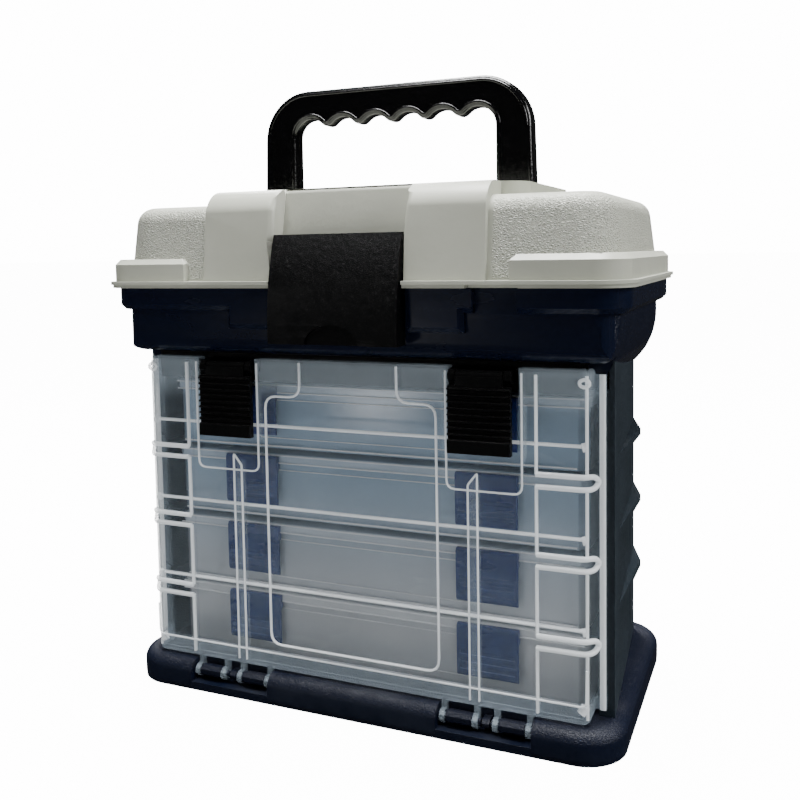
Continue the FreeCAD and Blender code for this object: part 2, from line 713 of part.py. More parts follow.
# Door: a shallow clear pan with a raised centre panel, ribs, latch notches and hinge eyes
def make_door():
    z0 = door_bottom_z
    z1 = door_top_z
    y0 = door_face_y
    y1 = y0 + door_t
    pan = box(-door_half_w, door_half_w, y0, flange_y, z0, z1)
    pan = round_edges(pan, door_corner_r, lambda edge: edge.BoundBox.YLength > door_t
                      and edge.BoundBox.ZLength < over and edge.BoundBox.XLength < over)
    plan = round_edges(box(-door_half_w, door_half_w, y0, flange_y, z0, z1), door_edge_r,
                       lambda edge: edge.BoundBox.YMax < y1 and edge.BoundBox.XLength < over)
    inside = box(-door_half_w + door_side_t, door_half_w - door_side_t, y1, flange_y + over,
                 z0 + door_side_t, z1 - door_side_t)
    inside = round_edges(inside, door_edge_r - door_t, lambda edge: edge.BoundBox.YMax < y1 + over
                         and edge.BoundBox.XLength < over)
    pan = pan.common(plan).cut(inside)
    trim_top = box(-door_half_w + door_side_t, door_half_w - door_side_t, y0 + door_top_depth,
                   flange_y + over, z1 - 2 * door_side_t, z1 + over)
    trim_low = box(-door_half_w + door_side_t, door_half_w - door_side_t, y0 + door_lip_depth,
                   flange_y + over, z0 - over, z0 + 2 * door_side_t)
    pan = pan.cut(trim_top).cut(trim_low)
    pieces = [pan]
    flange = box(door_half_w - door_side_t, door_flange_half_w, flange_y - door_flange_t, flange_y,
                 z0 + door_corner_r, z1 - door_corner_r)
    pieces.extend(both_sides(flange))
    for index in range(1, tray_count):
        z = z0 + index * (z1 - z0 - door_rib_top_drop) / (tray_count - 1)
        pieces.append(box(-door_half_w + door_side_t, door_half_w - door_side_t, y1, y1 + door_rib_out,
                          z - door_rib_w / 2, z + door_rib_w / 2))
    pocket_low = pocket_top_z - pocket_h
    bar = box(door_bar_x - door_bar_w / 2, door_bar_x + door_bar_w / 2, y1, y1 + door_bar_out,
              z0 + door_side_t, pocket_low)
    mullion = box(door_mullion_x - door_rib_w / 2, door_mullion_x + door_rib_w / 2, y1, y1 + door_bar_out,
                  z0 + door_side_t, z1 - door_side_t)
    pocket = box(notch_in_x - pocket_wall, notch_out_x + pocket_wall, y0,
                 y0 + pocket_depth + pocket_wall, pocket_low - pocket_wall, pocket_top_z)
    pieces.extend(both_sides(bar) + both_sides(mullion) + both_sides(pocket))
    pieces.append(centre_panel(y0 - panel_out, y1))
    for x in door_eye_xs:
        x0 = x - door_eye_w / 2
        x1 = x + door_eye_w / 2
        eye = octagon_x(door_eye_r, x0, x1, door_pin_y, door_pin_z)
        arm = box(x0, x1, y0, y0 + door_lip_depth, door_pin_z, z0 + door_side_t)
        hook = fuse([eye, arm]).cut(octagon_x(door_pin_r + run_gap, x0, x1, door_pin_y, door_pin_z))
        pieces.extend(both_sides(hook))
    door = fuse(pieces)
    notch = box(notch_in_x, notch_out_x, y0 - 2 * over, flange_y + over, pocket_top_z, z1 + over)
    sink = box(notch_in_x, notch_out_x, y0 - 2 * over, y0 + pocket_depth, pocket_low, pocket_top_z + over)
    for cutter in both_sides(notch) + both_sides(sink):
        door = door.cut(cutter)
    return door


def centre_panel(y0, y1):
    """Raised middle of the door, with stepped shoulders at the top."""
    low_z = door_bottom_z + panel_bottom_rise
    side_z = door_top_z - panel_side_drop
    top_z = door_top_z
    root_share = math.sqrt(0.5)
    r = panel_corner_r
    right = [V(0, y0, low_z), V(panel_half_w - r, y0, low_z), V(panel_half_w, y0, low_z + r),
             V(panel_half_w, y0, side_z - r), V(panel_half_w - r, y0, side_z),
             V(panel_shoulder_x + r, y0, side_z), V(panel_shoulder_x, y0, side_z + r),
             V(panel_shoulder_x, y0, top_z), V(0, y0, top_z)]
    low_mid = V(panel_half_w - r + r * root_share, y0, low_z + r - r * root_share)
    high_mid = V(panel_half_w - r + r * root_share, y0, side_z - r + r * root_share)
    neck_mid = V(panel_shoulder_x + r - r * root_share, y0, side_z + r - r * root_share)
    edges = [Part.makeLine(right[0], right[1]), Part.Arc(right[1], low_mid, right[2]).toShape(),
             Part.makeLine(right[2], right[3]), Part.Arc(right[3], high_mid, right[4]).toShape(),
             Part.makeLine(right[4], right[5]), Part.Arc(right[5], neck_mid, right[6]).toShape(),
             Part.makeLine(right[6], right[7]), Part.makeLine(right[7], right[8]),
             Part.makeLine(right[8], right[0])]
    half = Part.Face(Part.Wire(edges)).extrude(V(0, y1 - y0, 0))
    return fuse(both_sides(half))


save(make_door(), "door_panel")


# Lid: a domed shell with straps, corner bumpers, a latch niche and a well for the handle
def dome_form(inset):
    z0 = rim_z0 - (over if inset else 0)
    z1 = dome_z - inset
    dome = drafted_block(dome_half_w - inset, dome_half_d - inset, dome_r - inset, dome_lean, z0, z1)
    if inset:
        return bevel_edges(dome, dome_inner_edge, all_at_z(z1))
    return round_edges(dome, dome_edge_r, all_at_z(z1))


def strap_form(inset):
    z0 = rim_z0 - (over if inset else 0)
    z1 = deck_z - inset
    half_d = strap_half_d - inset
    half_w = strap_half_w - inset
    lean = strap_lean
    middle = polygon_x(((-half_d, z0), (-half_d + lean, z1), (half_d - lean, z1), (half_d, z0)),
                       -half_w, half_w)
    return round_edges(middle, strap_top_r - inset, lambda edge: all_at_z(z1)(edge)
                       and edge.BoundBox.XLength > half_w)


def deck_form(inset):
    half_w = deck_half_w - inset
    return slab(half_w, deck_half_d - inset, deck_r - inset, dome_z - dome_edge_r, deck_z - inset)


def bumper_form():
    ring = slab(rim_w / 2 - bumper_in, rim_d / 2 - bumper_in, rim_r - bumper_in, rim_z0, rim_z1 + bumper_h)
    end_x = strap_half_w + bumper_gap
    ring = ring.cut(box(-end_x, end_x, -rim_d, rim_d, rim_z0 - over, deck_z))
    return bevel_edges(ring, bumper_edge, all_at_z(rim_z1 + bumper_h))


def niche(grow):
    """Room for the lid latch between the straps, or the wall behind it."""
    half_w = niche_half_w + grow
    bend_z = rim_z1 + niche_bend_h
    low_z = rim_z1 - (2 * rim_lip_t + 2 * over if grow else 0)
    return polygon_x(((-rim_d, low_z), (niche_low_y + grow, low_z), (niche_low_y + grow, bend_z + grow),
                      (niche_low_y + niche_lean + grow, deck_z - lid_wall),
                      (niche_low_y + niche_lean, deck_z + over),
                      (-rim_d, deck_z + over)), -half_w, half_w)


def handle_well(grow):
    """Trough that takes the folded handle, or the wall round it."""
    x0 = handle_half_w - handle_leg_w - handle_play - grow
    x1 = handle_half_w + handle_play + grow
    floor_z = handle_pivot_z - handle_t / 2 - handle_well_under - grow
    front_y = -handle_t / 2 - 2 * handle_play - grow
    back_y = handle_rise + 2 * handle_play + grow
    grip_y = handle_rise - grip_t - scallop_cusp - grip_inner_r - 2 * handle_play - grow
    legs = both_sides(box(x0, x1, front_y, back_y, floor_z, deck_z + over))
    return fuse(legs + [box(-x1, x1, grip_y, back_y, floor_z, deck_z + over)])


def handle_studs(play):
    """Trunnion moulded on one leg of the handle, or its bore in the lid."""
    return rod_x(handle_pin_r + play, handle_half_w - handle_bevel, handle_half_w + handle_play + lid_wall,
                 0, handle_pivot_z)


def latch_studs(play):
    """Trunnions moulded on the lid latch, or their bores in the straps."""
    reach = niche_half_w + lid_wall
    return rod_x(latch_pin_r + play, -reach, reach, latch_pin_y, latch_pin_z)


def make_lid():
    lower_lip = slab(rim_w / 2 - rim_inset, rim_d / 2 - rim_inset, rim_r - rim_inset,
                     rim_z0, rim_z0 + rim_lip_t)
    upper_lip = slab(rim_w / 2, rim_d / 2, rim_r, rim_z0 + rim_lip_t, rim_z1)
    outer = fuse([lower_lip, upper_lip, dome_form(0), strap_form(0), deck_form(0)] + bumper_form().Solids)
    outer = outer.cut(box(-niche_half_w, niche_half_w, -rim_d, -tub_half_d - rim_notch_gap,
                          rim_z0 - over, rim_z1 + over))
    outer = outer.cut(box(slot_x - slot_rim_play, slot_x + slot_w + slot_rim_play, -rim_d, -dome_half_d,
                          rim_z0 - over, rim_z0 + rim_lip_t))
    outer = outer.cut(niche(0)).cut(handle_well(0))
    hollow = fuse([dome_form(lid_wall), strap_form(lid_wall), deck_form(lid_wall)])
    hollow = hollow.cut(niche(lid_wall)).cut(handle_well(lid_wall))
    lid = outer.cut(hollow)
    notch_y = collar_half_d + hinge_play
    knuckles = []
    for side in (-1, 1):
        middle = side * hinge_mid_x
        half = hinge_w / 2 + hinge_play
        lid = lid.cut(box(middle - half, middle + half, notch_y, rim_d, rim_z0 - over, rim_z1 + bumper_h))
        x0 = middle - hinge_mid_w / 2
        x1 = middle + hinge_mid_w / 2
        barrel = rod_x(hinge_knuckle_r, x0, x1, hinge_y, hinge_z)
        web = polygon_x(((dome_half_d - lid_wall / 2, rim_z0), (hinge_y, rim_z0),
                         (hinge_y + hinge_knuckle_r / 2, rim_z0 + hinge_knuckle_r / 2),
                         (notch_y, rim_z1 + hinge_web_t), (dome_half_d - lid_wall / 2, rim_z1 + hinge_web_t)),
                        x0, x1)
        knuckles.append(fuse([barrel, web]))
    lid = fuse([lid] + knuckles)
    cutters = both_sides(rod_x(hinge_pin_r + run_gap, hinge_mid_x - hinge_mid_w,
                               hinge_mid_x + hinge_mid_w, hinge_y, hinge_z))
    cutters.extend(both_sides(handle_studs(run_gap)))
    cutters.append(latch_studs(run_gap))
    for cutter in cutters:
        lid = lid.cut(cutter)
    return lid


save(make_lid(), "lid_shell")


# Carrying handle: a flat bail with a scalloped grip
def make_handle():
    y0 = -handle_t / 2
    top_z = handle_pivot_z + handle_rise
    leg_in = handle_half_w - handle_leg_w
    outline = box(-handle_half_w, handle_half_w, y0, -y0, handle_pivot_z, top_z)
    outline = round_edges(outline, handle_corner_r, lambda edge: edge.BoundBox.YLength > handle_t / 2
                          and edge.BoundBox.ZMin > top_z - over)
    cusp_z = top_z - grip_t - scallop_cusp
    window = box(-leg_in, leg_in, y0 - over, -y0 + over, handle_pivot_z - over, cusp_z)
    window = round_edges(window, grip_inner_r, lambda edge: edge.BoundBox.YLength > handle_t / 2
                         and edge.BoundBox.ZMin > cusp_z - over)
    bail = outline.cut(window)
    for index in range(scallop_count):
        x = (index - (scallop_count - 1) / 2) * scallop_pitch
        bail = bail.cut(Part.makeCylinder(scallop_r, handle_t + 2 * over,
                                          V(x, y0 - over, top_z - grip_t - scallop_r), V(0, 1, 0)))
    rims = [edge for edge in bail.Edges if edge.BoundBox.YLength < over / 10
            and edge.BoundBox.ZMax > handle_pivot_z + over
            and abs(edge.BoundBox.XMax) > leg_in + handle_bevel]
    bail = bail.makeChamfer(handle_bevel, rims)
    feet = []
    for side in (-1, 1):
        x0 = min(side * leg_in, side * handle_half_w)
        feet.append(rod_x(handle_t / 2, x0, x0 + handle_leg_w, 0, handle_pivot_z))
    return fuse([bail] + feet + both_sides(handle_studs(0)))


save(make_handle(), "handle")


# Lid latch: a curved cover plate with cheeks, a full-width knuckle and a thumb recess
def make_latch():
    top_z = rim_z1 + latch_top_rise
    low_z = rim_z1 - latch_bottom_drop
    mid_z = (top_z + low_z) / 2
    cheek_y = -tub_half_d - latch_cheek_gap

    def curve(inset, z_top, z_low):
        top = V(-latch_half_w, latch_top_in - reach_y + inset, z_top)
        mid = V(-latch_half_w, latch_bulge_in - reach_y + inset, mid_z)
        low = V(-latch_half_w, -reach_y + inset, z_low)
        return top, mid, low

    a, b, c = curve(0, top_z, low_z)
    d, e, f = curve(latch_t, top_z, low_z)
    skin_wire = Part.Wire([Part.Arc(a, b, c).toShape(), Part.makeLine(c, f),
                           Part.Arc(f, e, d).toShape(), Part.makeLine(d, a)])
    skin = Part.Face(skin_wire).extrude(V(2 * latch_half_w, 0, 0))
    heel_top = V(-latch_half_w, cheek_y, top_z)
    heel_low = V(-latch_half_w, cheek_y, low_z)
    cheek_wire = Part.Wire([Part.Arc(a, b, c).toShape(), Part.makeLine(c, heel_low),
                            Part.makeLine(heel_low, heel_top), Part.makeLine(heel_top, a)])
    cheek = Part.Face(cheek_wire).extrude(V(latch_cheek_t, 0, 0))
    barrel = rod_x(latch_knuckle_r, -latch_half_w, latch_half_w, latch_pin_y, latch_pin_z)
    web = box(-latch_half_w, latch_half_w, latch_top_in - reach_y, latch_pin_y,
              latch_pin_z - latch_knuckle_r / 2, latch_pin_z + latch_knuckle_r / 2)
    nib_z = low_z + latch_nib_rise
    nib = box(-catch_w / 2, catch_w / 2, -reach_y + latch_t / 2, -tub_half_d - catch_h - 2 * seat_gap,
              nib_z, nib_z + latch_nib_h)
    latch = fuse([skin] + both_sides(cheek) + [barrel, web, nib, latch_studs(0)])
    thumb = Part.makeCylinder(thumb_half_w, latch_t + over, V(0, -reach_y - over, low_z), V(0, 1, 0))
    stretch = FreeCAD.Matrix()
    stretch.scale(V(1, 1, thumb_h / thumb_half_w))
    moved = thumb.copy()
    moved.translate(V(0, 0, -low_z))
    moved = moved.transformGeometry(stretch)
    moved.translate(V(0, 0, low_z))
    behind = box(-latch_half_w, latch_half_w, -reach_y + latch_t / 2, 0, low_z - over, top_z)
    return latch.cut(moved.cut(behind))


save(make_latch(), "lid_latch")


# Trays: four clear boxes, each with a lid, loose dividers and two blue snaps
def make_tray_box(z):
    half_d = (tray_back_y - tray_front_y) / 2
    centre_y = (tray_back_y + tray_front_y) / 2
    top_z = z + tray_h - tray_lid_h
    wall_out = tray_box_inset
    body = bevel_slab(tray_half_w - wall_out, half_d - wall_out, tray_bevel + wall_out, z, top_z)
    hollow = bevel_slab(tray_half_w - wall_out - tray_wall, half_d - wall_out - tray_wall,
                        tray_bevel, z + tray_floor, top_z + over)
    tray = body.cut(hollow)
    tray.translate(V(0, centre_y, 0))
    return tray


def make_tray_lid(z):
    half_d = (tray_back_y - tray_front_y) / 2
    centre_y = (tray_back_y + tray_front_y) / 2
    low_z = z + tray_h - tray_lid_h
    cover = bevel_slab(tray_half_w, half_d, tray_bevel + tray_box_inset, low_z, z + tray_h)
    hollow = bevel_slab(tray_half_w - tray_box_inset - tray_wall, half_d - tray_box_inset - tray_wall,
                        tray_bevel, low_z - over, z + tray_h - tray_lid_t)
    cover = cover.cut(hollow)
    cover.translate(V(0, centre_y, 0))
    return cover


def make_dividers(z):
    front_y = tray_front_y + tray_box_inset + tray_wall
    back_y = tray_back_y - tray_box_inset - tray_wall
    inside_half_w = tray_half_w - tray_box_inset - tray_wall
    plates = []
    for index in range(divider_count):
        x = (index + 1) * 2 * inside_half_w / (divider_count + 1) - inside_half_w
        plates.append(box(x - divider_t / 2, x + divider_t / 2, front_y, back_y,
                          z + tray_floor, z + tray_h - tray_lid_h - divider_drop))
    return plates


def make_snap(z):
    top_z = z + tray_h - snap_top_drop
    low_z = top_z - snap_h
    x0 = snap_x - snap_w / 2
    x1 = snap_x + snap_w / 2
    y0 = tray_front_y - snap_out
    seam_z = z + tray_h - tray_lid_h
    profile = polygon_x(((tray_front_y, top_z), (y0 + snap_t / 2, top_z), (y0, top_z - snap_t),
                         (y0, low_z + snap_t), (y0 + snap_t / 2, low_z), (y0 + snap_t, low_z),
                         (y0 + snap_t, seam_z - 3 * snap_hook),
                         (tray_front_y + snap_hook / 2, seam_z - 2 * snap_hook),
                         (tray_front_y + snap_hook / 2, seam_z), (tray_front_y, seam_z)), x0, x1)
    grooves = []
    for index in range(snap_rib_count):
        groove_z = low_z + snap_t + snap_rib_h + index * snap_rib_pitch
        grooves.append(box(x0 + snap_t, x1 - snap_t, y0 - over, y0 + snap_t / 4,
                           groove_z, groove_z + snap_rib_h))
    for groove in grooves:
        profile = profile.cut(groove)
    return profile


for level in range(tray_count):
    name = "tray_" + str(tray_count - level)
    z = tray_bottom(level)
    save(make_tray_box(z), name + "_box")
    save(make_tray_lid(z), name + "_lid")
    save(group(make_dividers(z)), name + "_dividers")
    save(group(both_sides(make_snap(z))), name + "_snaps")
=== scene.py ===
import bpy
import json
import math
from mathutils import Matrix, Vector

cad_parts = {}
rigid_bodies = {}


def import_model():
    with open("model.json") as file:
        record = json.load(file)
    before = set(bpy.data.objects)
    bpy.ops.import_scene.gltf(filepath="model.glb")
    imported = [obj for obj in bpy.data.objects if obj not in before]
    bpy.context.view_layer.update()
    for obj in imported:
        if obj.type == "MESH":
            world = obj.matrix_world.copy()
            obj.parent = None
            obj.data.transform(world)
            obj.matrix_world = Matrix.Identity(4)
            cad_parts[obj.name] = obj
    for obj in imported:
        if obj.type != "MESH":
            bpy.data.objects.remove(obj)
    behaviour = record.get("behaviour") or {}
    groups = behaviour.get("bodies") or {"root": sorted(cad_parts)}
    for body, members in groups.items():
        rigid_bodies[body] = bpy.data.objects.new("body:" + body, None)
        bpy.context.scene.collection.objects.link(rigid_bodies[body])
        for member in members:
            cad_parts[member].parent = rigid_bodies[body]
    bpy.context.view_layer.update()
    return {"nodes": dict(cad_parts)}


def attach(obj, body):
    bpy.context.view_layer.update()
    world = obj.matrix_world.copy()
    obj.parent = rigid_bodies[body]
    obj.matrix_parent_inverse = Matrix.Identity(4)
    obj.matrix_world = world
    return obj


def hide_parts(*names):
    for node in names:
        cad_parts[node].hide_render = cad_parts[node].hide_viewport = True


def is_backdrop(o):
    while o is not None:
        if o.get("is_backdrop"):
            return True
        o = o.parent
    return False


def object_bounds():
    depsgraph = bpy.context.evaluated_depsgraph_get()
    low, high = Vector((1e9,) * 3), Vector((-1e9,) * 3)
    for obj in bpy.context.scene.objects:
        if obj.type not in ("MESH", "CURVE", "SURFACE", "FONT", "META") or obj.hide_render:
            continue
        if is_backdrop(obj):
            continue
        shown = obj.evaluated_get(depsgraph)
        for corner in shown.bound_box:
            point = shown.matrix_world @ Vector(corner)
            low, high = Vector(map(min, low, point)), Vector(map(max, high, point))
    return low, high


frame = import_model()
nodes = frame["nodes"]
bpy.ops.object.select_all(action="DESELECT")


# Base plinth: one low moulding in dark navy plastic, open underneath.
# Its upper edge is generously rounded and the top carries a fine grain.
# The door's hinge bars are moulded in two pockets of its front.
def group_of(name, inputs, outputs):
    tree = bpy.data.node_groups.new(name, "ShaderNodeTree")
    for label, kind, value in inputs:
        socket = tree.interface.new_socket(name=label, in_out="INPUT", socket_type=kind)
        socket.default_value = value
    for label, kind in outputs:
        tree.interface.new_socket(name=label, in_out="OUTPUT", socket_type=kind)
    return tree, tree.nodes.new("NodeGroupInput"), tree.nodes.new("NodeGroupOutput")


def math_node(tree, operation, first, second=None, third=None):
    node = tree.nodes.new("ShaderNodeMath")
    node.operation = operation
    for index, value in enumerate((first, second, third)):
        if value is None:
            continue
        if isinstance(value, (int, float)):
            node.inputs[index].default_value = value
        else:
            tree.links.new(value, node.inputs[index])
    return node.outputs[0]


def product(tree, first, *more):
    """Masks multiplied together."""
    for mask in more:
        first = math_node(tree, "MULTIPLY", first, mask)
    return first


def ramp(tree, value, low, high, smooth=True):
    node = tree.nodes.new("ShaderNodeMapRange")
    node.interpolation_type = "SMOOTHSTEP" if smooth else "LINEAR"
    tree.links.new(value, node.inputs["Value"])
    for label, limit in (("From Min", low), ("From Max", high)):
        if isinstance(limit, (int, float)):
            node.inputs[label].default_value = limit
        else:
            tree.links.new(limit, node.inputs[label])
    return node.outputs[0]


def noise(tree, where, scale, detail=3.0, stretch=(1, 1, 1)):
    sized = tree.nodes.new("ShaderNodeVectorMath")
    sized.operation = "MULTIPLY"
    tree.links.new(where, sized.inputs[0])
    sized.inputs[1].default_value = stretch
    node = tree.nodes.new("ShaderNodeTexNoise")
    node.inputs["Detail"].default_value = detail
    node.inputs["Scale"].default_value = scale
    tree.links.new(sized.outputs[0], node.inputs["Vector"])
    return node.outputs["Fac"]


# leather-like grain that the mould leaves: raised islands between fine creases
moulded_grain, grain_in, grain_out = group_of(
    "moulded_grain", [("Cells", "NodeSocketFloat", 700.0)], [("Height", "NodeSocketFloat")])
spot = moulded_grain.nodes.new("ShaderNodeTexCoord").outputs["Object"]
bent = moulded_grain.nodes.new("ShaderNodeTexNoise")
bent.inputs["Scale"].default_value = 420
bent.inputs["Detail"].default_value = 2
moulded_grain.links.new(spot, bent.inputs["Vector"])
shifted = moulded_grain.nodes.new("ShaderNodeVectorMath")
shifted.operation = "MULTIPLY_ADD"
moulded_grain.links.new(bent.outputs["Color"], shifted.inputs[0])
shifted.inputs[1].default_value = (0.0022, 0.0022, 0.0022)
moulded_grain.links.new(spot, shifted.inputs[2])
flattened = moulded_grain.nodes.new("ShaderNodeVectorMath")
flattened.operation = "MULTIPLY"
moulded_grain.links.new(shifted.outputs[0], flattened.inputs[0])
flattened.inputs[1].default_value = (0.75, 0.75, 1.25)
cells = moulded_grain.nodes.new("ShaderNodeTexVoronoi")
cells.feature = "DISTANCE_TO_EDGE"
moulded_grain.links.new(flattened.outputs[0], cells.inputs["Vector"])
moulded_grain.links.new(grain_in.outputs["Cells"], cells.inputs["Scale"])
islands = ramp(moulded_grain, cells.outputs["Distance"], 0.02, 0.34)
rippled = noise(moulded_grain, spot, 1500, 2)
height = math_node(moulded_grain, "MULTIPLY_ADD", rippled, 0.3, islands)
moulded_grain.links.new(height, grain_out.inputs["Height"])

# life in the gloss and tone: cloudy moulding marks, handling smears and fine scuffs
surface_life, life_in, life_out = group_of(
    "surface_life", [("Amount", "NodeSocketFloat", 1.0)],
    [("Gloss", "NodeSocketFloat"), ("Tone", "NodeSocketFloat"), ("Scuffs", "NodeSocketFloat")])
spot = surface_life.nodes.new("ShaderNodeTexCoord").outputs["Object"]
clouds = noise(surface_life, spot, 18, 4)
smears = noise(surface_life, spot, 60, 5, (0.4, 1, 1.6))
fine = noise(surface_life, spot, 900, 2)
amount = life_in.outputs["Amount"]
mixed = math_node(surface_life, "MULTIPLY_ADD", smears, 0.6, product(surface_life, clouds, 0.4))
centred = math_node(surface_life, "SUBTRACT", mixed, 0.5)
surface_life.links.new(product(surface_life, centred, amount), life_out.inputs["Gloss"])
cloudy = math_node(surface_life, "SUBTRACT", clouds, 0.5)
surface_life.links.new(math_node(surface_life, "MULTIPLY_ADD", cloudy, amount, 0.5), life_out.inputs["Tone"])
lines = ramp(surface_life, noise(surface_life, spot, 160, 6, (0.12, 1.4, 1.0)), 0.63, 0.72)
broken_up = ramp(surface_life, fine, 0.35, 0.7)
surface_life.links.new(product(surface_life, lines, broken_up), life_out.inputs["Scuffs"])

# rubbed edges: paler where a corner stands out
rubbed_edges, rub_in, rub_out = group_of(
    "rubbed_edges", [("Sharpness", "NodeSocketFloat", 0.56)], [("Mask", "NodeSocketFloat")])
geometry = rubbed_edges.nodes.new("ShaderNodeNewGeometry")
spot = rubbed_edges.nodes.new("ShaderNodeTexCoord").outputs["Object"]
edge = ramp(rubbed_edges, geometry.outputs["Pointiness"], rub_in.outputs["Sharpness"], 0.66)
uneven = ramp(rubbed_edges, noise(rubbed_edges, spot, 90, 4), 0.3, 0.7)
rubbed_edges.links.new(product(rubbed_edges, edge, uneven), rub_out.inputs["Mask"])

# dust that settles on what faces up
settled_dust, dust_in, dust_out = group_of(
    "settled_dust", [("Amount", "NodeSocketFloat", 0.2)], [("Mask", "NodeSocketFloat")])
geometry = settled_dust.nodes.new("ShaderNodeNewGeometry")
parts = settled_dust.nodes.new("ShaderNodeSeparateXYZ")
settled_dust.links.new(geometry.outputs["Normal"], parts.inputs[0])
spot = settled_dust.nodes.new("ShaderNodeTexCoord").outputs["Object"]
level = ramp(settled_dust, parts.outputs["Z"], 0.55, 1.0)
patchy = ramp(settled_dust, noise(settled_dust, spot, 45, 6), 0.35, 0.75)
lying = product(settled_dust, level, patchy, dust_in.outputs["Amount"])
settled_dust.links.new(lying, dust_out.inputs["Mask"])


def use(tree, group, **values):
    node = tree.nodes.new("ShaderNodeGroup")
    node.node_tree = group
    for label, value in values.items():
        node.inputs[label].default_value = value
    return node


def blend_colours(tree, factor, first, second):
    node = tree.nodes.new("ShaderNodeMix")
    node.data_type = "RGBA"
    tree.links.new(factor, node.inputs["Factor"])
    for index, colour in ((6, first), (7, second)):
        if isinstance(colour, tuple):
            node.inputs[index].default_value = (*colour, 1)
        else:
            tree.links.new(colour, node.inputs[index])
    return node.outputs[2]


def moulded_plastic(name, colour, pale, gloss, grain_depth, cells, grain_where, dust, shine=0.5):
    """Moulded plastic: tone and gloss vary, edges rub paler, and grain stands only where it is asked for."""
    material = bpy.data.materials.new(name)
    material.use_nodes = True
    tree = material.node_tree
    shader = tree.nodes["Principled BSDF"]
    life = use(tree, surface_life, Amount=1.0)
    darker, lighter = (tuple(part * share for part in colour) for share in (0.8, 1.2))
    toned = blend_colours(tree, life.outputs["Tone"], darker, lighter)
    rub = use(tree, rubbed_edges, Sharpness=0.53)
    toned = blend_colours(tree, product(tree, rub.outputs["Mask"], 0.35), toned, pale)
    settled = use(tree, settled_dust, Amount=dust)
    toned = blend_colours(tree, settled.outputs["Mask"], toned, (0.35, 0.35, 0.33))
    scuffed = product(tree, life.outputs["Scuffs"], 0.12)
    tree.links.new(blend_colours(tree, scuffed, toned, pale), shader.inputs["Base Color"])
    rough = math_node(tree, "MULTIPLY_ADD", life.outputs["Gloss"], 0.35, gloss)
    rough = math_node(tree, "MULTIPLY_ADD", settled.outputs["Mask"], 0.3, rough)
    grain = use(tree, moulded_grain, Cells=cells)
    height = grain.outputs["Height"]
    if grain_where is not None:
        mask = grain_where(tree)
        height = product(tree, height, mask)
        rough = math_node(tree, "MULTIPLY_ADD", mask, 0.12, rough)
    tree.links.new(math_node(tree, "MAXIMUM", rough, 0.06), shader.inputs["Roughness"])
    spot = tree.nodes.new("ShaderNodeTexCoord").outputs["Object"]
    skin = noise(tree, spot, 240, 3)
    height = math_node(tree, "MULTIPLY_ADD", skin, 0.12, height)
    bump = tree.nodes.new("ShaderNodeBump")
    bump.inputs["Distance"].default_value = grain_depth
    bump.inputs["Strength"].default_value = 1.0
    tree.links.new(height, bump.inputs["Height"])
    tree.links.new(bump.outputs["Normal"], shader.inputs["Normal"])
    shader.inputs["Specular IOR Level"].default_value = shine
    return material


def position(tree):
    """Place on the cabinet in metres, as X, Y and Z."""
    node = tree.nodes.new("ShaderNodeSeparateXYZ")
    tree.links.new(tree.nodes.new("ShaderNodeTexCoord").outputs["Object"], node.inputs[0])
    return node.outputs


def paint(name, material):
    piece = nodes[name]
    piece.data.materials.clear()
    piece.data.materials.append(material)


SAME_PLACE = 0.00002
FLAT_ANGLE = math.radians(0.6)
CORNER_ANGLE = math.radians(28)


def soft_edges(name, width, segments=2):
    """Weld the node's triangles, clear its flats and round its corners by a moulder's small radius."""
    piece = nodes[name]
    weld = piece.modifiers.new("weld", "WELD")
    weld.merge_threshold = SAME_PLACE
    flat = piece.modifiers.new("flat", "DECIMATE")
    flat.decimate_type = "DISSOLVE"
    flat.angle_limit = FLAT_ANGLE
    rounding = piece.modifiers.new("rounding", "BEVEL")
    rounding.width = width
    rounding.segments = segments
    rounding.limit_method = "ANGLE"
    rounding.angle_limit = CORNER_ANGLE
    piece.data.polygons.foreach_set("use_smooth", [True] * len(piece.data.polygons))
    piece.modifiers.new("normals", "WEIGHTED_NORMAL")


def plinth_grain(tree):
    return ramp(tree, position(tree)["Z"], 0.0085, 0.0105)


NAVY = (0.0034, 0.0062, 0.0190)
NAVY_RUBBED = (0.02, 0.026, 0.045)
navy_plinth = moulded_plastic("navy_plinth", NAVY, NAVY_RUBBED, gloss=0.36, grain_depth=0.00012, cells=900.0,
                              grain_where=plinth_grain, dust=0.05, shine=0.35)
soft_edges("base_plinth", 0.0012, 3)
paint("base_plinth", navy_plinth)


def empty_curve(name):
    bpy.ops.curve.primitive_nurbs_path_add(location=(0, 0, 0))
    curve = bpy.context.object
    curve.name = name
    curve.data.splines.clear()
    return curve


def add_line(curve, places, closed=False):
    """Add a line of straight steps to a curve, through places with two or three numbers."""
    line = curve.data.splines.new("POLY")
    line.points.add(len(places) - 1)
    for point, place in zip(line.points, places):
        point.co = (*place, *(0,) * (3 - len(place)), 1)
    line.use_cyclic_u = closed


def arc_points(centre_x, centre_y, radius, start, end, steps):
    turns = (start + (end - start) * step / steps for step in range(steps + 1))
    return [(centre_x + radius * math.cos(turn), centre_y + radius * math.sin(turn)) for turn in turns]


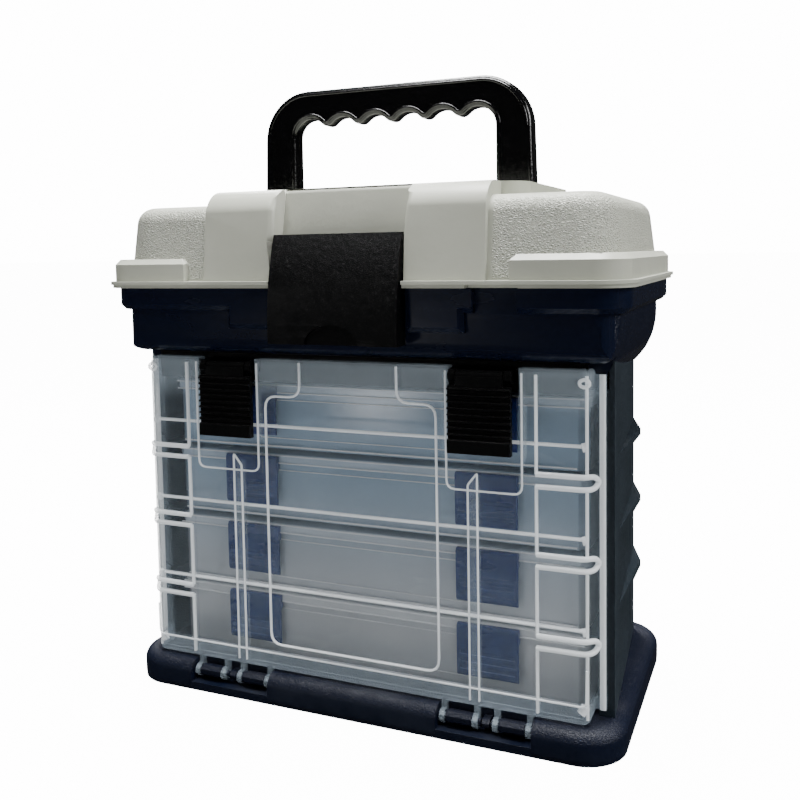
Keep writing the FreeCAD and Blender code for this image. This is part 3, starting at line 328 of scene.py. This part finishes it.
def swept(name, paths, section):
    """Solid skin along open paths in plan. Its closed section is given as steps outwards and heights."""
    profile = empty_curve(name + "_section")
    add_line(profile, section, closed=True)
    profile.select_set(False)
    drawing = empty_curve(name)
    drawing.data.dimensions = "3D"
    drawing.data.bevel_mode = "OBJECT"
    drawing.data.bevel_object = profile
    drawing.data.use_fill_caps = True
    for path in paths:
        add_line(drawing, path)
    bpy.ops.object.convert(target="MESH")
    piece = bpy.context.object
    bpy.ops.object.mode_set(mode="EDIT")
    bpy.ops.mesh.select_all(action="SELECT")
    bpy.ops.mesh.normals_make_consistent(inside=False)
    bpy.ops.object.mode_set(mode="OBJECT")
    bpy.ops.object.shade_smooth_by_angle(angle=math.radians(40))
    piece.select_set(False)
    bpy.data.objects.remove(profile)
    return piece


# rounded skin over the plinth's upper edge, left open at the two hinge pockets
half_w, half_d, plan_r = 0.1272, 0.0682, 0.0202
pocket_in_x, pocket_out_x = 0.0440, 0.0890
foot_z, edge_z, edge_r = 0.0020, 0.0085, 0.0057
wall_t = 0.0012
top_z = edge_z + edge_r
around = [(pocket_out_x, -half_d)]
for turn_x, turn_y, start in ((1, -1, -90), (1, 1, 0), (-1, 1, 90), (-1, -1, 180)):
    around += arc_points(turn_x * (half_w - plan_r), turn_y * (half_d - plan_r), plan_r,
                         math.radians(start), math.radians(start + 90), 10)
around.append((-pocket_out_x, -half_d))
section = [(0.0, foot_z)] + arc_points(-edge_r, edge_z, edge_r, 0, math.pi / 2, 6)
section += [(-0.0072, top_z), (-0.0072, top_z - 0.0008), (-edge_r, top_z - 0.0010),
            (-wall_t, edge_z + 0.0003), (-wall_t, foot_z)]
between_pockets = [(-pocket_in_x, -half_d), (pocket_in_x, -half_d)]
skin = swept("plinth_skin", [around, between_pockets], section)
skin.data.materials.clear()
skin.data.materials.append(navy_plinth)
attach(skin, "cabinet")


# Side walls and back wall: drafted sheets in the same navy plastic.
# They are grained all over, apart from a plain strip along each front edge.
def wall_grain(tree):
    return ramp(tree, position(tree)["Y"], -0.0445, -0.0435)


navy_wall = moulded_plastic("navy_wall", (0.014, 0.024, 0.034), (0.06, 0.08, 0.10), gloss=0.4,
                            grain_depth=0.00014, cells=800.0, grain_where=wall_grain, dust=0.05)
for name in ("side_panel_left", "side_panel_right", "back_panel"):
    soft_edges(name, 0.0005)
    paint(name, navy_wall)


# Upper tub: smooth in front, grained on its sides behind an upright seam near each corner.
# Its collar and the two bosses beside the latch stand out from it with rounded lower edges.
def tub_grain(tree):
    across, back, up = position(tree)
    side = ramp(tree, math_node(tree, "ABSOLUTE", across), 0.1205, 0.1215)
    behind = ramp(tree, back, -0.0605, -0.0595)
    below_collar = ramp(tree, up, 0.1938, 0.1925)
    return product(tree, side, behind, below_collar)


navy_tub = moulded_plastic("navy_tub", NAVY, NAVY_RUBBED, gloss=0.24, grain_depth=0.00022, cells=700.0,
                           grain_where=tub_grain, dust=0.05, shine=0.3)
soft_edges("upper_tub", 0.0008, 3)
paint("upper_tub", navy_tub)


# Hinge rods: two plain drawn steel wires that join lid and tub.
drawn_steel = bpy.data.materials.new("drawn_steel")
drawn_steel.use_nodes = True
tree = drawn_steel.node_tree
shader = tree.nodes["Principled BSDF"]
shader.inputs["Metallic"].default_value = 1.0
life = use(tree, surface_life, Amount=1.0)
toned = blend_colours(tree, life.outputs["Tone"], (0.42, 0.42, 0.43), (0.6, 0.6, 0.6))
tree.links.new(toned, shader.inputs["Base Color"])
spot = tree.nodes.new("ShaderNodeTexCoord").outputs["Object"]
drawn = noise(tree, spot, 900, 3, (0.05, 1, 1))
tree.links.new(ramp(tree, drawn, -0.6, 2.2, False), shader.inputs["Roughness"])
bump = tree.nodes.new("ShaderNodeBump")
bump.inputs["Distance"].default_value = 0.00004
tree.links.new(drawn, bump.inputs["Height"])
tree.links.new(bump.outputs["Normal"], shader.inputs["Normal"])
soft_edges("lid_hinge_rods", 0.0002)
paint("lid_hinge_rods", drawn_steel)


# Door header and its two latches: black mouldings with a fine even grain.
# The latch plates are ribbed for the fingers and end in a smooth lip.
black_grained = moulded_plastic("black_grained", (0.0012, 0.0013, 0.0016), (0.02, 0.02, 0.02), gloss=0.46,
                                grain_depth=0.00007, cells=1500.0, grain_where=None, dust=0.03, shine=0.14)
for name in ("door_header", "door_latch_left", "door_latch_right"):
    soft_edges(name, 0.0003)
    paint(name, black_grained)


# Door: one clear moulding with frosted margins, so it looks grey where the dark inside shows through.
# Its beads, loops and ribs are thicker plastic, and a faint painted glow makes them look almost white.
def clear_plastic(name, colour, veil, gloss, frost_where=None, frost=0.0, painted_shade_above=None):
    """Clear plastic: veil says how cloudy it is, frost adds to that, and the last colour is a painted shade
    laid over what stands high.
    """
    material = bpy.data.materials.new(name)
    material.use_nodes = True
    tree = material.node_tree
    shader = tree.nodes["Principled BSDF"]
    life = use(tree, surface_life, Amount=1.0)
    toned = blend_colours(tree, life.outputs["Tone"], tuple(part * 0.93 for part in colour), colour)
    # what stands high takes a darker, bluer colour: painted shade towards the top
    if painted_shade_above is not None:
        toned = blend_colours(tree, ramp(tree, position(tree)["Z"], 0.035, 0.125), toned, painted_shade_above)
    tree.links.new(toned, shader.inputs["Base Color"])
    clouded = math_node(tree, "MULTIPLY_ADD", life.outputs["Gloss"], 0.12, veil)
    rough = math_node(tree, "MULTIPLY_ADD", life.outputs["Gloss"], 0.2, gloss)
    if frost_where is not None:
        mask = frost_where(tree)
        clouded = math_node(tree, "MULTIPLY_ADD", mask, frost, clouded)
        rough = math_node(tree, "MULTIPLY_ADD", mask, 0.25, rough)
    tree.links.new(math_node(tree, "MINIMUM", clouded, 1.0), shader.inputs["Alpha"])
    tree.links.new(math_node(tree, "MAXIMUM", rough, 0.05), shader.inputs["Roughness"])
    spot = tree.nodes.new("ShaderNodeTexCoord").outputs["Object"]
    bump = tree.nodes.new("ShaderNodeBump")
    bump.inputs["Distance"].default_value = 0.0003
    bump.inputs["Strength"].default_value = 0.5
    tree.links.new(noise(tree, spot, 55, 3), bump.inputs["Height"])
    tree.links.new(bump.outputs["Normal"], shader.inputs["Normal"])
    return material


def door_frost(tree):
    place = position(tree)
    wide, up = math_node(tree, "ABSOLUTE", place["X"]), place["Z"]
    top = ramp(tree, up, 0.1664, 0.1668)
    foot = ramp(tree, up, 0.0245, 0.0238)
    side = product(tree, ramp(tree, wide, 0.1131, 0.1136), 0.25)
    notch_in = product(tree, ramp(tree, wide, 0.0472, 0.0476), ramp(tree, wide, 0.0502, 0.0500))
    notch_out = product(tree, ramp(tree, wide, 0.0828, 0.0830), ramp(tree, wide, 0.0862, 0.0858))
    notch = product(tree, math_node(tree, "MAXIMUM", notch_in, notch_out), ramp(tree, up, 0.128, 0.133))
    upright = product(tree, ramp(tree, wide, 0.0586, 0.0590), ramp(tree, wide, 0.0640, 0.0636),
                      ramp(tree, up, 0.119, 0.118), 0.6)
    header_haze = product(tree, ramp(tree, up, 0.1480, 0.1600), 0.9)
    mask = top
    for more in (foot, side, notch, upright, header_haze):
        mask = math_node(tree, "MAXIMUM", mask, more)
    return mask


clear_door = clear_plastic("clear_door", (0.66, 0.79, 0.90), veil=0.05, gloss=0.12, frost_where=door_frost,
                           frost=0.18)
soft_edges("door_panel", 0.0003)
paint("door_panel", clear_door)

bead_white_painted_glow = clear_plastic("bead_white_painted_glow", (0.93, 0.96, 0.98), veil=0.68, gloss=0.12)
# the beads glow faintly though they hold no lamp: a painted glow that brightens them
shader = bead_white_painted_glow.node_tree.nodes["Principled BSDF"]
shader.inputs["Emission Color"].default_value = (0.88, 0.93, 0.96, 1)
shader.inputs["Emission Strength"].default_value = 0.16


def rounded_line(corners, radius, steps=4):
    """Points of a line whose inner corners are rounded: across, up and, if given, back."""
    corners = [tuple(corner) + (0.0,) * (3 - len(corner)) for corner in corners]
    line = [Vector(corners[0])]
    for before, corner, after in zip(corners, corners[1:], corners[2:]):
        before, corner, after = Vector(before), Vector(corner), Vector(after)
        reach = min(radius, (before - corner).length / 2, (after - corner).length / 2)
        start = corner + (before - corner).normalized() * reach
        end = corner + (after - corner).normalized() * reach
        for step in range(steps + 1):
            share = step / steps
            line.append(start.lerp(corner, share).lerp(corner.lerp(end, share), share))
    line.append(Vector(corners[-1]))
    return line


def beads(name, lines, depth, thick, rest, body, material, sides=(1, -1)):
    """Beads of moulded plastic along lines in an upright plane at rest. Places are across, up and back."""
    drawing = empty_curve(name)
    drawing.data.bevel_depth = thick / 2
    drawing.data.bevel_resolution = 2
    drawing.data.use_fill_caps = True
    for line in lines:
        for side in sides:
            add_line(drawing, [(side * across, back * thick / depth, up) for across, up, back in line])
    bpy.ops.object.convert(target="MESH")
    piece = bpy.context.object
    bpy.ops.transform.resize(value=(1, depth / thick, 1))
    bpy.ops.object.transform_apply(location=False, rotation=False, scale=True)
    bpy.ops.object.mode_set(mode="EDIT")
    bpy.ops.mesh.select_all(action="SELECT")
    bpy.ops.mesh.normals_make_consistent(inside=False)
    bpy.ops.transform.translate(value=(0, rest, 0))
    bpy.ops.object.mode_set(mode="OBJECT")
    bpy.ops.object.shade_smooth_by_angle(angle=math.radians(50))
    piece.data.materials.clear()
    piece.data.materials.append(material)
    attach(piece, body)
    piece.select_set(False)


def door_beads(name, lines, depth, thick, rest):
    beads(name, lines, depth, thick, rest, "door", bead_white_painted_glow)


STILE_X, EDGE_HIGHLIGHT_X = 0.0902, 0.1120
RAIL_HEIGHTS = (0.0561, 0.0965, 0.1370)

# loops of thicker plastic that run round the edge of the door and back
loop_half_h = 0.0027
round_the_edge = ((STILE_X, 0.0), (0.1118, 0.0003), (0.1148, 0.0040))
loops = []
for level in (0.1216, 0.0861, 0.0498):
    above = [(across, level + loop_half_h, back) for across, back in round_the_edge]
    below = [(across, level - loop_half_h, back) for across, back in reversed(round_the_edge)]
    loops.append(rounded_line(above + [(0.1164, level, 0.0072)] + below, 0.0030, 5))
door_beads("door_loops", loops, 0.0026, 0.0025, -0.0619)

stiles = []
edge_highlights = []
for low, high in ((0.0175, 0.0471), (0.0525, 0.0834), (0.0888, 0.1189), (0.1243, 0.1675)):
    stiles.append([(STILE_X, low, 0.0), (STILE_X, high, 0.0)])
    edge_highlights.append([(EDGE_HIGHLIGHT_X, low, 0.0), (EDGE_HIGHLIGHT_X, high, 0.0)])
door_beads("door_stiles", stiles, 0.0022, 0.0016, -0.0612)
# pale beads along the door's rounded vertical edges: painted highlights of those edges
door_beads("door_edge_highlights", edge_highlights, 0.0016, 0.0015, -0.0602)

rails = [[(0.0, height, 0.0), (0.1095, height, 0.0)] for height in RAIL_HEIGHTS]
door_beads("door_rails", rails, 0.0024, 0.0017, -0.0588)

# gate marks: a ring of thicker plastic near each upper corner and a drop at each rail's end
ring_x, ring_z, ring_half_w, ring_half_h = 0.1112, 0.1645, 0.0021, 0.0016
rings = []
for third in range(3):
    angles = [math.pi * (third * 8 + step) / 12 for step in range(9)]
    rings.append([(ring_x + ring_half_w * math.cos(angle), ring_z + ring_half_h * math.sin(angle), 0.0)
                  for angle in angles])
drops = [[(0.1098, height - 0.0004, 0.0), (0.1116, height, 0.0004)] for height in RAIL_HEIGHTS]
door_beads("door_corner_rings", rings, 0.0014, 0.0016, -0.0613)
door_beads("door_rail_drops", drops, 0.0032, 0.0040, -0.0598)

# outline of the raised middle panel, narrower between the two latches
panel_foot, panel_shoulder, panel_top = 0.0284, 0.1523, 0.1690
panel_half_w, neck_half_w = 0.0443, 0.0252
outline = rounded_line(((0.0, panel_foot), (panel_half_w, panel_foot), (panel_half_w, panel_shoulder),
                        (neck_half_w, panel_shoulder), (neck_half_w, panel_top)), 0.006)
door_beads("door_panel_outline", [outline], 0.0016, 0.0012, -0.0620)

# edges of the two latch pockets, and the narrow rib that rises into each
pocket_in, pocket_out, pocket_low, pocket_high = 0.0490, 0.0840, 0.1145, 0.1680
pockets = rounded_line(((pocket_in, pocket_high), (pocket_in, pocket_low), (pocket_out, pocket_low),
                        (pocket_out, pocket_high)), 0.004)
rib_in, rib_out, rib_low = 0.0590, 0.0634, 0.0180
rib = rounded_line(((rib_in, rib_low), (rib_in, 0.1170), (rib_out, 0.1225), (rib_out, rib_low)), 0.0008, 2)
door_beads("door_pocket_edges", [pockets, rib], 0.0014, 0.0010, -0.0618)

# upper edge of the frosted sill, which turns up into the painted highlight line of each edge, and a blob of
# plastic at the corner
sill_z = 0.0236
sill = rounded_line(((0.0, sill_z), (0.1060, sill_z), (0.1118, sill_z), (EDGE_HIGHLIGHT_X, 0.0400)), 0.005)
blob = [(0.1092, 0.0200, 0.0), (0.1112, 0.0232, 0.0008)]
door_beads("door_sill", [sill], 0.0010, 0.0010, -0.0618)
door_beads("door_sill_corners", [blob], 0.0034, 0.0042, -0.0606)

# pale bar along the outer edge of each flange: a painted highlight of that edge
flange_highlight = [(0.1169, 0.0185, 0.0), (0.1169, 0.1672, 0.0)]
door_beads("door_flange_highlights", [flange_highlight], 0.0016, 0.0028, -0.0507)


# Trays: four boxes with lids and three dividers each, in milky clear plastic.
# Two blue snaps hold each lid shut.
def tray_frost(tree):
    spot = tree.nodes.new("ShaderNodeTexCoord").outputs["Object"]
    return ramp(tree, noise(tree, spot, 9, 1), 0.3, 0.75)


# the trays are painted darker and bluer towards the top: a painted shade
milky = clear_plastic("milky_tray", (0.88, 0.91, 0.95), veil=0.42, gloss=0.16, frost_where=tray_frost,
                      frost=0.08, painted_shade_above=(0.44, 0.60, 0.78))
milky_lid = clear_plastic("milky_tray_lid", (0.90, 0.93, 0.96), veil=0.50, gloss=0.12, frost_where=tray_frost,
                          frost=0.08, painted_shade_above=(0.60, 0.72, 0.86))
# pale strips that stand in for the trays' highlight lines: painted highlights
tray_highlight_bead = clear_plastic("tray_highlight_bead", (0.92, 0.94, 0.97), veil=0.60, gloss=0.1)
blue_snap = moulded_plastic("blue_snap", (0.010, 0.026, 0.13), (0.05, 0.09, 0.25), gloss=0.3,
                            grain_depth=0.00003, cells=1200.0, grain_where=None, dust=0.03)
TOP_TRAY_Z = 0.1558
TRAY_PITCH = 0.0360
RECESS_HALF_W = 0.0600
for number in (1, 2, 3, 4):
    for part, material in (("box", milky), ("lid", milky_lid), ("dividers", milky), ("snaps", blue_snap)):
        name = "tray_" + str(number) + "_" + part
        soft_edges(name, 0.0004)
        paint(name, material)
    # pale rims painted as highlight lines: the lid's two edges and the foot of the box
    up = TOP_TRAY_Z - TRAY_PITCH * (number - 1)
    strips = [[(-reach, height, 0.0), (reach, height, 0.0)] for reach, height in
              ((0.1080, up - 0.0008), (0.1080, up - 0.0046), (0.1045, up - 0.0320))]
    # pale line painted as the highlight round the shallow recess in the front of the box
    recess = rounded_line(((-RECESS_HALF_W, up - 0.0085), (RECESS_HALF_W, up - 0.0085),
                           (RECESS_HALF_W, up - 0.0280), (-RECESS_HALF_W, up - 0.0280),
                           (-RECESS_HALF_W, up - 0.0090)), 0.003)
    body = "tray_" + str(number)
    beads(body + "_rims", strips, 0.0010, 0.0009, -0.0448, body, tray_highlight_bead, sides=(1,))
    beads(body + "_recess", [recess], 0.0006, 0.0006, -0.0436, body, tray_highlight_bead, sides=(1,))


# Lid: light warm grey moulding, grained on its dome and smooth on straps, deck, bumpers and rim.
# The straps' sides and the deck's front edge are rounded more than its other corners.
def lid_grain(tree):
    across, back, up = position(tree)
    wide = math_node(tree, "ABSOLUTE", across)
    deep = math_node(tree, "ABSOLUTE", back)
    beside = ramp(tree, wide, 0.0728, 0.0742)
    bumper = math_node(tree, "MAXIMUM", ramp(tree, deep, 0.0697, 0.0700), ramp(tree, wide, 0.1268, 0.1272))
    corner = product(tree, ramp(tree, math_node(tree, "ADD", wide, deep), 0.1895, 0.1900),
                     ramp(tree, up, 0.2200, 0.2197))
    bumper = math_node(tree, "MAXIMUM", bumper, corner)
    clear_of_bumper = math_node(tree, "SUBTRACT", 1.0, bumper)
    below_top = ramp(tree, up, 0.2455, 0.2400)
    above_rim = ramp(tree, up, 0.2090, 0.2100)
    return product(tree, beside, clear_of_bumper, below_top, above_rim)


grey_lid = moulded_plastic("grey_lid", (0.44, 0.45, 0.385), (0.60, 0.60, 0.54), gloss=0.38,
                           grain_depth=0.00060, cells=860.0, grain_where=lid_grain, dust=0.03)
paint("lid_shell", grey_lid)
bpy.context.view_layer.objects.active = nodes["lid_shell"]
nodes["lid_shell"].select_set(True)
bpy.ops.object.duplicate()
lid = bpy.context.object
lid.name = "lid_moulding"
for label in list(lid.keys()):
    del lid[label]
bpy.ops.object.parent_clear(type="CLEAR_KEEP_TRANSFORM")
bpy.ops.object.transform_apply(location=True, rotation=True, scale=True)
bpy.ops.object.mode_set(mode="EDIT")
bpy.ops.mesh.select_all(action="SELECT")
bpy.ops.mesh.remove_doubles(threshold=SAME_PLACE)
bpy.ops.mesh.dissolve_limited(angle_limit=FLAT_ANGLE)
bpy.ops.mesh.select_all(action="DESELECT")
bpy.ops.mesh.select_mode(type="EDGE")
bpy.ops.object.mode_set(mode="OBJECT")
# the front edge of the deck, and the sides of the straps beside the latch niche
DECK_Z = 0.2518
DECK_EDGE_FRONT_Y, DECK_EDGE_BACK_Y = -0.0560, -0.0550
STRAP_SIDE_X = 0.0336
STRAP_LOW_Z, STRAP_BEND_Z = 0.2120, 0.2495
STRAP_FRONT_Y, STRAP_BACK_Y = -0.0640, -0.0600
SHORTEST_EDGE = 0.0003
for edge in lid.data.edges:
    ends = [lid.data.vertices[index].co for index in edge.vertices]
    deck_front = all(end.z > DECK_Z and DECK_EDGE_FRONT_Y < end.y < DECK_EDGE_BACK_Y for end in ends)
    strap_side = all(abs(abs(end.x) - STRAP_SIDE_X) < 0.0002 for end in ends)
    strap_side = strap_side and all(end.y < STRAP_BACK_Y and end.z > STRAP_LOW_Z for end in ends)
    strap_side = strap_side and all(end.y < STRAP_FRONT_Y or end.z > STRAP_BEND_Z for end in ends)
    edge.select = deck_front or (strap_side and (ends[0] - ends[1]).length > SHORTEST_EDGE)
bpy.ops.object.mode_set(mode="EDIT")
bpy.ops.mesh.bevel(offset=0.0030, segments=5, affect="EDGES", clamp_overlap=False)
bpy.ops.object.mode_set(mode="OBJECT")
rounding = lid.modifiers.new("rounding", "BEVEL")
rounding.width = 0.0010
rounding.segments = 3
rounding.limit_method = "ANGLE"
rounding.angle_limit = CORNER_ANGLE
bpy.ops.object.modifier_apply(modifier="rounding")
bpy.ops.object.shade_smooth()
lid.modifiers.new("normals", "WEIGHTED_NORMAL")
bpy.ops.object.modifier_apply(modifier="normals")
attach(lid, "lid")
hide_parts("lid_shell")
lid.select_set(False)


# Lid latch: black curved cover with a fine grain.
# A half-moon recess for the thumb lies at its lower edge.
soft_edges("lid_latch", 0.0010, 3)
paint("lid_latch", black_grained)


# Carrying handle: gloss black bail, rounded all round, with five smooth finger waves under the grip.
# A new moulding drawn as one filled outline with round corners replaces the plain one.
gloss_black = moulded_plastic("gloss_black", (0.0012, 0.0012, 0.0015), (0.01, 0.01, 0.01), gloss=0.12,
                              grain_depth=0.00002, cells=1400.0, grain_where=None, dust=0.02, shine=0.45)
paint("handle", gloss_black)
PIVOT_Z = 0.246
HANDLE_TOP = 0.3075
HANDLE_HALF_W = 0.0755
LEG_W = 0.0195
LEG_IN_X = HANDLE_HALF_W - LEG_W
HALF_T = 0.0055
ROUND = 0.0024
LEG_END_Z = PIVOT_Z - 0.004
# angle of a line that points straight up, a quarter turn
UP = math.pi / 2

corner, lean = 0.026, 0.0012
outer = [(-HANDLE_HALF_W, LEG_END_Z)]
outer += arc_points(-HANDLE_HALF_W + lean + corner, HANDLE_TOP - corner, corner, math.pi, UP, 14)
outer += arc_points(HANDLE_HALF_W - lean - corner, HANDLE_TOP - corner, corner, UP, 0, 14)
outer += [(HANDLE_HALF_W, LEG_END_Z), (LEG_IN_X, LEG_END_Z)]
pitch, depth, valley_r, root = 0.0186, 0.0040, 0.0088, HANDLE_TOP - 0.0150
grip_half_w = 2.5 * pitch
tooth_r = ((pitch / 2) ** 2 + depth ** 2) / (2 * depth) - valley_r
swing = math.atan2(pitch / 2, valley_r + tooth_r - depth)
inner_r = LEG_IN_X - grip_half_w
hand = arc_points(grip_half_w, root - inner_r, inner_r, 0, UP, 8)
for wave in range(5):
    right = grip_half_w - wave * pitch
    hand += arc_points(right, root - valley_r, valley_r, UP, UP + swing, 4)[1:]
    hand += arc_points(right - pitch / 2, root - depth + tooth_r, tooth_r, -UP + swing, -UP - swing, 6)[1:]
    hand += arc_points(right - pitch, root - valley_r, valley_r, UP - swing, UP, 4)[1:]
hand += arc_points(-grip_half_w, root - inner_r, inner_r, UP, math.pi, 8)[1:]
bail = empty_curve("handle_bail")
bail.data.dimensions = "2D"
bail.data.fill_mode = "BOTH"
bail.data.extrude = HALF_T - ROUND
bail.data.bevel_depth = ROUND
bail.data.bevel_resolution = 4
bail.data.offset = -ROUND
add_line(bail, outer + hand + [(-LEG_IN_X, LEG_END_Z)], closed=True)
bpy.ops.object.convert(target="MESH")
bail = bpy.context.object
bpy.ops.object.mode_set(mode="EDIT")
bpy.ops.mesh.select_all(action="SELECT")
bpy.ops.mesh.remove_doubles(threshold=0.00001)
bpy.ops.transform.rotate(value=-math.pi / 2, orient_axis="X", center_override=(0, 0, 0))
bpy.ops.mesh.normals_make_consistent(inside=False)
bpy.ops.object.mode_set(mode="OBJECT")
bail.select_set(False)
# round feet about the pivot, and the pins that run into the lid: length, radius and middle
foot_size = (LEG_W, HALF_T, HANDLE_HALF_W - LEG_W / 2)
pin_size = (0.0042, 0.0022, HANDLE_HALF_W + 0.0012)
for side in (-1, 1):
    for length, radius, middle in (foot_size, pin_size):
        bpy.ops.mesh.primitive_cylinder_add(vertices=32, radius=radius, depth=length, rotation=(0, UP, 0),
                                            location=(side * middle, 0, PIVOT_Z))
        bpy.ops.object.transform_apply(location=True, rotation=True, scale=True)
        foot = bpy.context.object
        rounding = foot.modifiers.new("rounding", "BEVEL")
        rounding.width = 0.0006
        rounding.segments = 2
        bpy.ops.object.modifier_apply(modifier="rounding")
        foot.select_set(True)
        bail.select_set(True)
        bpy.context.view_layer.objects.active = bail
        bpy.ops.object.join()
        bail.select_set(False)
bail.select_set(True)
bpy.ops.object.shade_smooth_by_angle(angle=math.radians(35))
bail.data.materials.clear()
bail.data.materials.append(gloss_black)
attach(bail, "handle")
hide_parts("handle")
bail.select_set(False)


def beside(line, reach):
    """The same line, moved sideways to its left."""
    moved = []
    for before, here, after in zip(line[:1] + line, line, line[1:] + line[-1:]):
        along = (Vector(after) - Vector(before)).normalized()
        moved.append((here[0] - along.y * reach, here[1] + along.x * reach, 0.0))
    return moved


# raised rims along both edges of the front face, which carry the highlights
rims = [beside(hand, -0.0022), beside(outer[1:-2], -0.0024)]
beads("handle_rims", rims, 0.0014, 0.0016, -0.0052, "handle", gloss_black, sides=(1,))


# Studio: pale floor and sky, a large soft light overhead, and smaller ones in front, at the side and behind.
# The camera stands at the photograph's place.
FLOOR_SIZE = 60
bpy.ops.mesh.primitive_plane_add(size=FLOOR_SIZE, location=(0, 0, 0))
floor = bpy.context.object
floor.name = "floor"
floor.select_set(False)
pale = bpy.data.materials.new("pale_floor")
pale.use_nodes = True
tree = pale.node_tree
shader = tree.nodes["Principled BSDF"]
spot = tree.nodes.new("ShaderNodeTexCoord").outputs["Object"]
toned = blend_colours(tree, noise(tree, spot, 3, 3), (0.22, 0.22, 0.22), (0.25, 0.25, 0.25))
tree.links.new(toned, shader.inputs["Base Color"])
shader.inputs["Roughness"].default_value = 0.8
shader.inputs["Emission Color"].default_value = (1, 1, 1, 1)
# the floor glows for the camera alone, so it lights nothing
seen = tree.nodes.new("ShaderNodeLightPath").outputs["Is Camera Ray"]
tree.links.new(product(tree, seen, 14.0), shader.inputs["Emission Strength"])
floor.data.materials.append(pale)
floor.visible_glossy = False
floor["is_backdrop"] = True

world = bpy.data.worlds.new("studio")
world.use_nodes = True
tree = world.node_tree
# the sky glows for the camera too, and lights the cabinet only faintly
sky = tree.nodes["Background"]
seen = tree.nodes.new("ShaderNodeLightPath").outputs["Is Camera Ray"]
sky.inputs["Color"].default_value = (1, 1, 1, 1)
tree.links.new(math_node(tree, "MULTIPLY_ADD", seen, 15.0, 0.03), sky.inputs["Strength"])
bpy.context.scene.world = world

# name, place, size and power of each light
LIGHTS = (("key", (-0.45, -0.85, 1.35), 0.5, 3.4),
          ("side", (1.35, -0.1, 0.8), 0.6, 16),
          ("top", (0.0, 0.02, 1.5), 0.8, 84),
          ("rim", (-0.5, 0.8, 0.95), 0.4, 16),
          ("low", (-0.25, -0.62, 0.06), 0.08, 0.25))
AIM = Vector((0, 0, 0.15))
for label, place, size, power in LIGHTS:
    bpy.ops.object.light_add(type="AREA", location=place)
    lamp = bpy.context.object
    lamp.name = label
    lamp.data.size = size
    lamp.data.energy = power
    lamp.rotation_euler = (AIM - Vector(place)).to_track_quat("-Z", "Y").to_euler()
    lamp.select_set(False)

CAMERA_PLACE = (0.1908, -0.4472, 0.2214)
yaw, pitch, roll = 0.4005, 0.0707, 0.01676
ahead = Vector((-math.sin(yaw) * math.cos(pitch), math.cos(yaw) * math.cos(pitch), -math.sin(pitch)))
level_right = Vector((math.cos(yaw), math.sin(yaw), 0))
level_down = ahead.cross(level_right)
right = level_right * math.cos(roll) + level_down * math.sin(roll)
down = level_down * math.cos(roll) - level_right * math.sin(roll)
bpy.ops.object.camera_add()
camera = bpy.context.object
turned = Matrix((right, -down, -ahead)).transposed().to_4x4()
camera.matrix_world = Matrix.Translation(CAMERA_PLACE) @ turned
camera.data.lens = 41.62
camera.data.shift_y = -0.104
bpy.context.scene.camera = camera

low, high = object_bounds()
